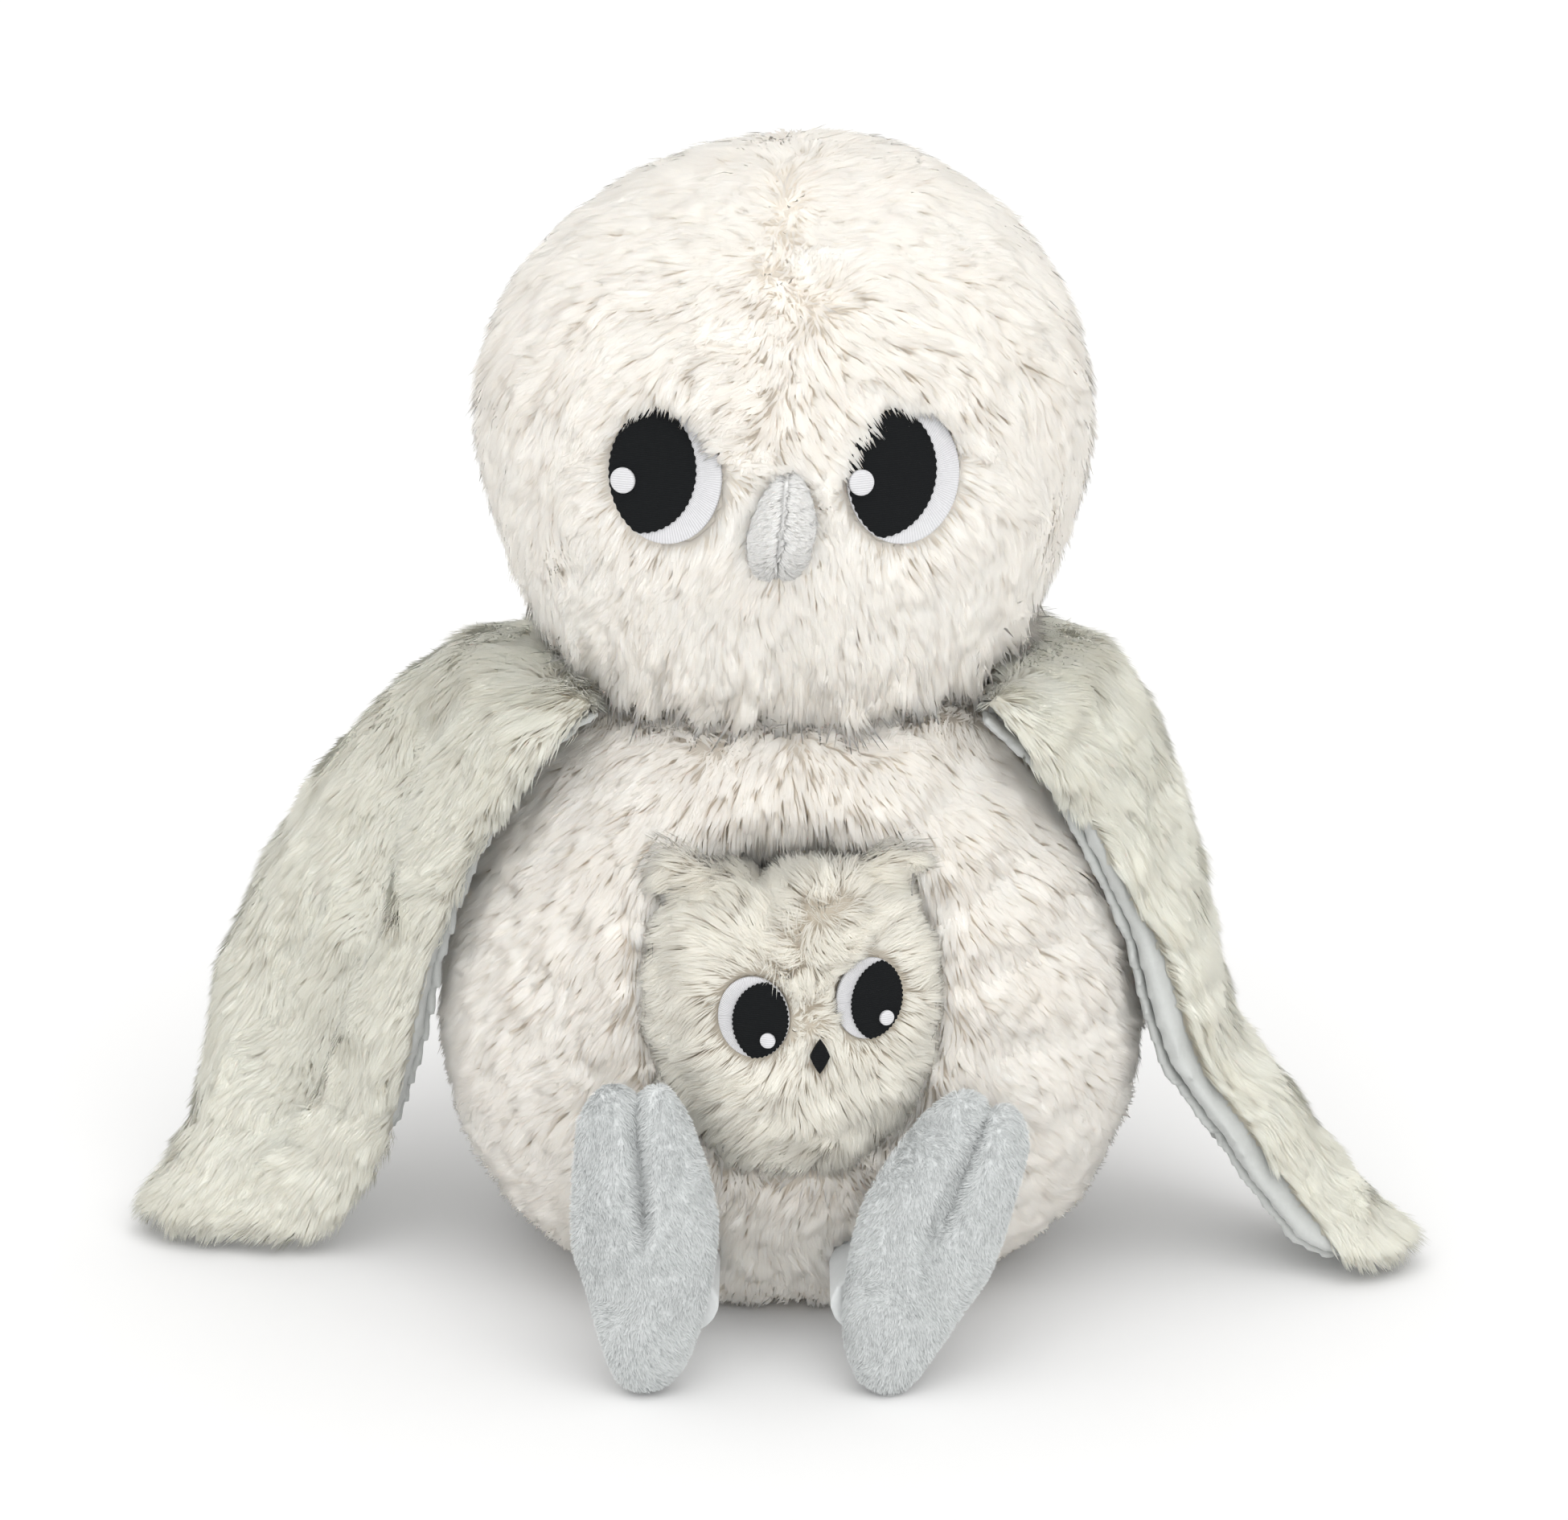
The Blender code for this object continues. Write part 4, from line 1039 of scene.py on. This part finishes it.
class OWL_OT_feet(Operator):
    """Feet with two toes sewn apart, and the legs behind them"""

    bl_idname = "owl.feet"
    bl_label = "Feet"

    def execute(self, context):
        sizes, colours = context.scene.owl_sizes, context.scene.owl_colours
        cloth = velboa_finish("foot_cloth", colours.velboa)
        fuzz = short_pile_finish("foot_pile", colours.velboa)
        for side in SIDES:
            nodes = tuple(f"foot_{side}_{part}" for part in ("sole", "upper", "stuffing"))
            foot = from_solids(f"foot_{side}_pad", nodes)
            foot = one_skin(foot, voxel=0.0009, inward=0.0006, rounds=10)
            part_toes(foot, f"foot_{side}_sole")
            settle(foot, cloth, f"foot_{side}", nodes)
            style = long_pile(
                70, 60000, sizes.short_pile, lambda roots, out: np.tile((0.2, 0, -1.0), (len(roots), 1)),
                lean=(40, 65), wander=0.5, pull=0.25, locks=0.03, short=True, ground=False, width=0.00024)
            grow_pile(f"foot_{side}_pile", foot, style, fuzz, f"foot_{side}")
            leg = from_solids(f"leg_{side}_tube", (f"leg_{side}",))
            leg = one_skin(leg, voxel=0.0012, inward=0.0003)
            settle(leg, cloth, "body", (f"leg_{side}",))
        return {"FINISHED"}


class OWL_OT_baby(Operator):
    """The baby owl: cover, ears and shaggy pile"""

    bl_idname = "owl.baby"
    bl_label = "Baby"

    def execute(self, context):
        sizes, colours = context.scene.owl_sizes, context.scene.owl_colours
        nodes = ("baby_front", "baby_back", "baby_stuffing", "baby_ear_left", "baby_ear_right")
        skin = one_skin(from_solids("baby_cover", nodes), voxel=0.0016, inward=0.0012, rounds=2)
        fill_out(skin, pressure=4, cap=0.0008)
        places = points(skin)
        top = np.clip((places[:, 2] - 0.084) / 0.014, 0, 1)
        places[:, 2] -= top * np.exp(-((places[:, 0] + 0.004) / 0.006) ** 2) * 0.0050
        place_points(skin, places)
        patches = [patch_frame(f"baby_eye_white_{side}") for side in SIDES]
        for patch in patches:
            press_seat(skin, patch, SEAT)
        backing = backing_finish("baby_backing", colours.baby_root)
        settle(skin, backing, "baby", nodes)
        heart = (patches[0][0] + patches[1][0]) / 2 - np.array((0, 0, 0.004))
        beak = patch_frame("baby_beak")
        corners = [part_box(f"baby_ear_{side}") for side in SIDES]
        ears = [np.array((low + high) / 2) for low, high in corners]

        def room(roots, out):
            share = np.ones(len(roots))
            for patch in patches:
                share *= round_patch(roots, patch, 0.0001) > 1
            return share * ((round_patch(roots, beak, 0) > 1) | (roots[:, 2] > beak[0][2] + 0.0006))

        def reach(roots, out):
            length = np.clip(0.45 + np.linalg.norm(roots - heart, axis=1) / 0.030, 0.45, 1.0)
            for ear in ears:
                length += near(roots, ear, 0.008) * 0.3
            for patch in patches:
                rim = round_patch(roots, patch, 0)
                length *= 0.5 + 0.5 * np.clip((rim - 1.0) / 0.3, 0, 1)
            return length[:, None]

        def lie(roots, out):
            offset = roots - heart
            way = unit(offset) * (1, 1, 0.6) + np.array((0, 0, -0.55))
            for ear in ears:
                tuft = np.array((math.copysign(1.0, ear[0]), -1.0, 0.9))
                way = way + near(roots, ear, 0.009)[:, None] * tuft
            for patch in patches:
                rim = round_patch(roots, patch, 0)[:, None]
                way = way + unit(roots - patch[0]) * 1.5 * np.exp(-np.clip(rim - 1, 0, 9) / 0.3)
            return way

        pile = pile_finish("baby_pile", colours.baby_root, colours.baby_tip, glow=0.5, depth=0.004)
        style = long_pile(
            90, 74000, sizes.baby_pile * 1.1, lie, room, reach, width=0.00022, wander=0.6, lean=(36, 68),
            locks=0.03, pull=0.45, ruffle=14, grain=0.9)
        grow_pile("baby_pile", skin, style, pile, "baby")
        return {"FINISHED"}


class OWL_OT_faces(Operator):
    """Embroidered eyes of both owls and the baby's beak"""

    bl_idname = "owl.faces"
    bl_label = "Faces"

    def execute(self, context):
        colours = context.scene.owl_colours
        black = satin_finish("black_satin", colours.black, 0.00042)
        white = satin_finish("white_satin", colours.white, 0.00045, radial=True)
        glint = satin_finish("glint_satin", colours.white, 0.00045)
        circle = lens(1.0, (0.0, 0.0), (3, 3), 96)[0]
        owls = (
            ("eye", "head", (-0.45, 0.08), (1.02, 0.95), 0.0004),
            ("baby_eye", "baby", (0.427, -0.098), (1.0, 1.0), 0.0002),
        )
        for kind, body, shift, radii, dome in owls:
            for side in SIDES:
                node = f"{kind}_white_{side}"
                patch = patch_frame(node)
                stitch_patch(f"{node}_patch", patch, circle, (0, 0), white, body,
                             (node,), 0.0, dome)
                outline, heart = lens(0.985, shift, radii, 168)
                stitch_patch(f"{kind}_pupil_{side}_patch", patch, outline, heart, black, body,
                             (f"{kind}_pupil_{side}",), 0.0007, dome, 0.00010)
                node = f"{kind}_glint_{side}"
                spot = patch_frame(node)
                flat = (spot[0] - patch[0]) @ patch[3]
                stitch_patch(f"{node}_patch", spot, circle[::2], (0, 0), glint, body,
                             (node,), 0.0013 + dome - flat, 0.0002)
        beak = patch_frame("baby_beak")
        diamond = []
        for x, y in circle[::2]:
            total = abs(x) + abs(y)
            diamond.append((x * 1.15 / total ** 0.75, y / total ** 0.75))
        stitch_patch("baby_beak_patch", beak, np.array(diamond), (0, 0), black, "baby",
                     ("baby_beak",), 0.0012, 0.0006)
        return {"FINISHED"}


class OWL_OT_beak(Operator):
    """The mother's stuffed beak with its seam and silky pile"""

    bl_idname = "owl.beak"
    bl_label = "Beak"

    def execute(self, context):
        colours = context.scene.owl_colours
        beak = one_skin(from_solids("beak_pad", ("beak",)), voxel=0.0008, inward=0.0, rounds=6)
        low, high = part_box("beak")
        places = points(beak)

        def off_seam(places):
            """Height as a share of the beak's, and side distance from its leaning seam."""
            share = (places[:, 2] - low.z) / (high.z - low.z)
            return share, places[:, 0] - ((low.x + high.x) / 2 - 0.0012 + share * 0.0024)

        share, off = off_seam(places)
        groove = np.exp(-(off / 0.0012) ** 2) * np.clip(1.1 - share, 0, 1)
        places -= ways_out(beak) * (groove * 0.0010)[:, None]
        heart = np.array((low + high) / 2)
        places = heart + (places - heart) * (0.93, 1, 1.05)
        place_points(beak, places)
        cloth = velboa_finish("beak_cloth", colours.beak)
        settle(beak, cloth, "head", ("beak",))
        # The beak pile's roots are drawn darker than the cloth: painted shade among the blades
        fuzz = pile_finish("beak_pile", [part * 0.62 for part in colours.beak],
                           [min(1, part * 1.05) for part in colours.beak], glow=0.15, depth=0.002)

        def lie(roots, out):
            side = np.sign(off_seam(roots)[1])
            return np.stack((side, np.zeros(len(roots)), np.full(len(roots), -0.25)), 1)

        style = long_pile(
            95, 20000, 0.0022, lie, lean=(50, 78), wander=0.25, pull=0.5, locks=0.03, width=0.00020,
            ground=False, room=lambda roots, out: (out[:, 1] < 0.5).astype(float))
        grow_pile("beak_pile", beak, style, fuzz, "head")
        return {"FINISHED"}


class OWL_PT_panel(Panel):
    """Sizes, colours and pieces of the plush owl"""

    bl_label = "Plush owl"
    bl_idname = "OWL_PT_panel"
    bl_space_type = "VIEW_3D"
    bl_region_type = "UI"
    bl_category = "Plush owl"

    def draw(self, context):
        for group in (context.scene.owl_sizes, context.scene.owl_colours):
            column = self.layout.column()
            for name in group.__annotations__:
                column.prop(group, name)
        for piece in STEPS:
            self.layout.operator(piece.bl_idname)


STEPS = (
    OWL_OT_stage, OWL_OT_head, OWL_OT_body, OWL_OT_wings, OWL_OT_feet, OWL_OT_baby, OWL_OT_faces, OWL_OT_beak,
)
CLASSES = (OwlColours, OwlSizes, *STEPS, OWL_PT_panel)


def register():
    for item in CLASSES:
        bpy.utils.register_class(item)
    bpy.types.Scene.owl_colours = PointerProperty(type=OwlColours)
    bpy.types.Scene.owl_sizes = PointerProperty(type=OwlSizes)


def unregister():
    del bpy.types.Scene.owl_sizes
    del bpy.types.Scene.owl_colours
    for item in reversed(CLASSES):
        bpy.utils.unregister_class(item)


def main():
    register()
    bpy.ops.owl.stage()
    bpy.ops.owl.head()
    bpy.ops.owl.body()
    bpy.ops.owl.wings()
    bpy.ops.owl.feet()
    bpy.ops.owl.baby()
    bpy.ops.owl.faces()
    bpy.ops.owl.beak()


if __name__ == "__main__":
    main()
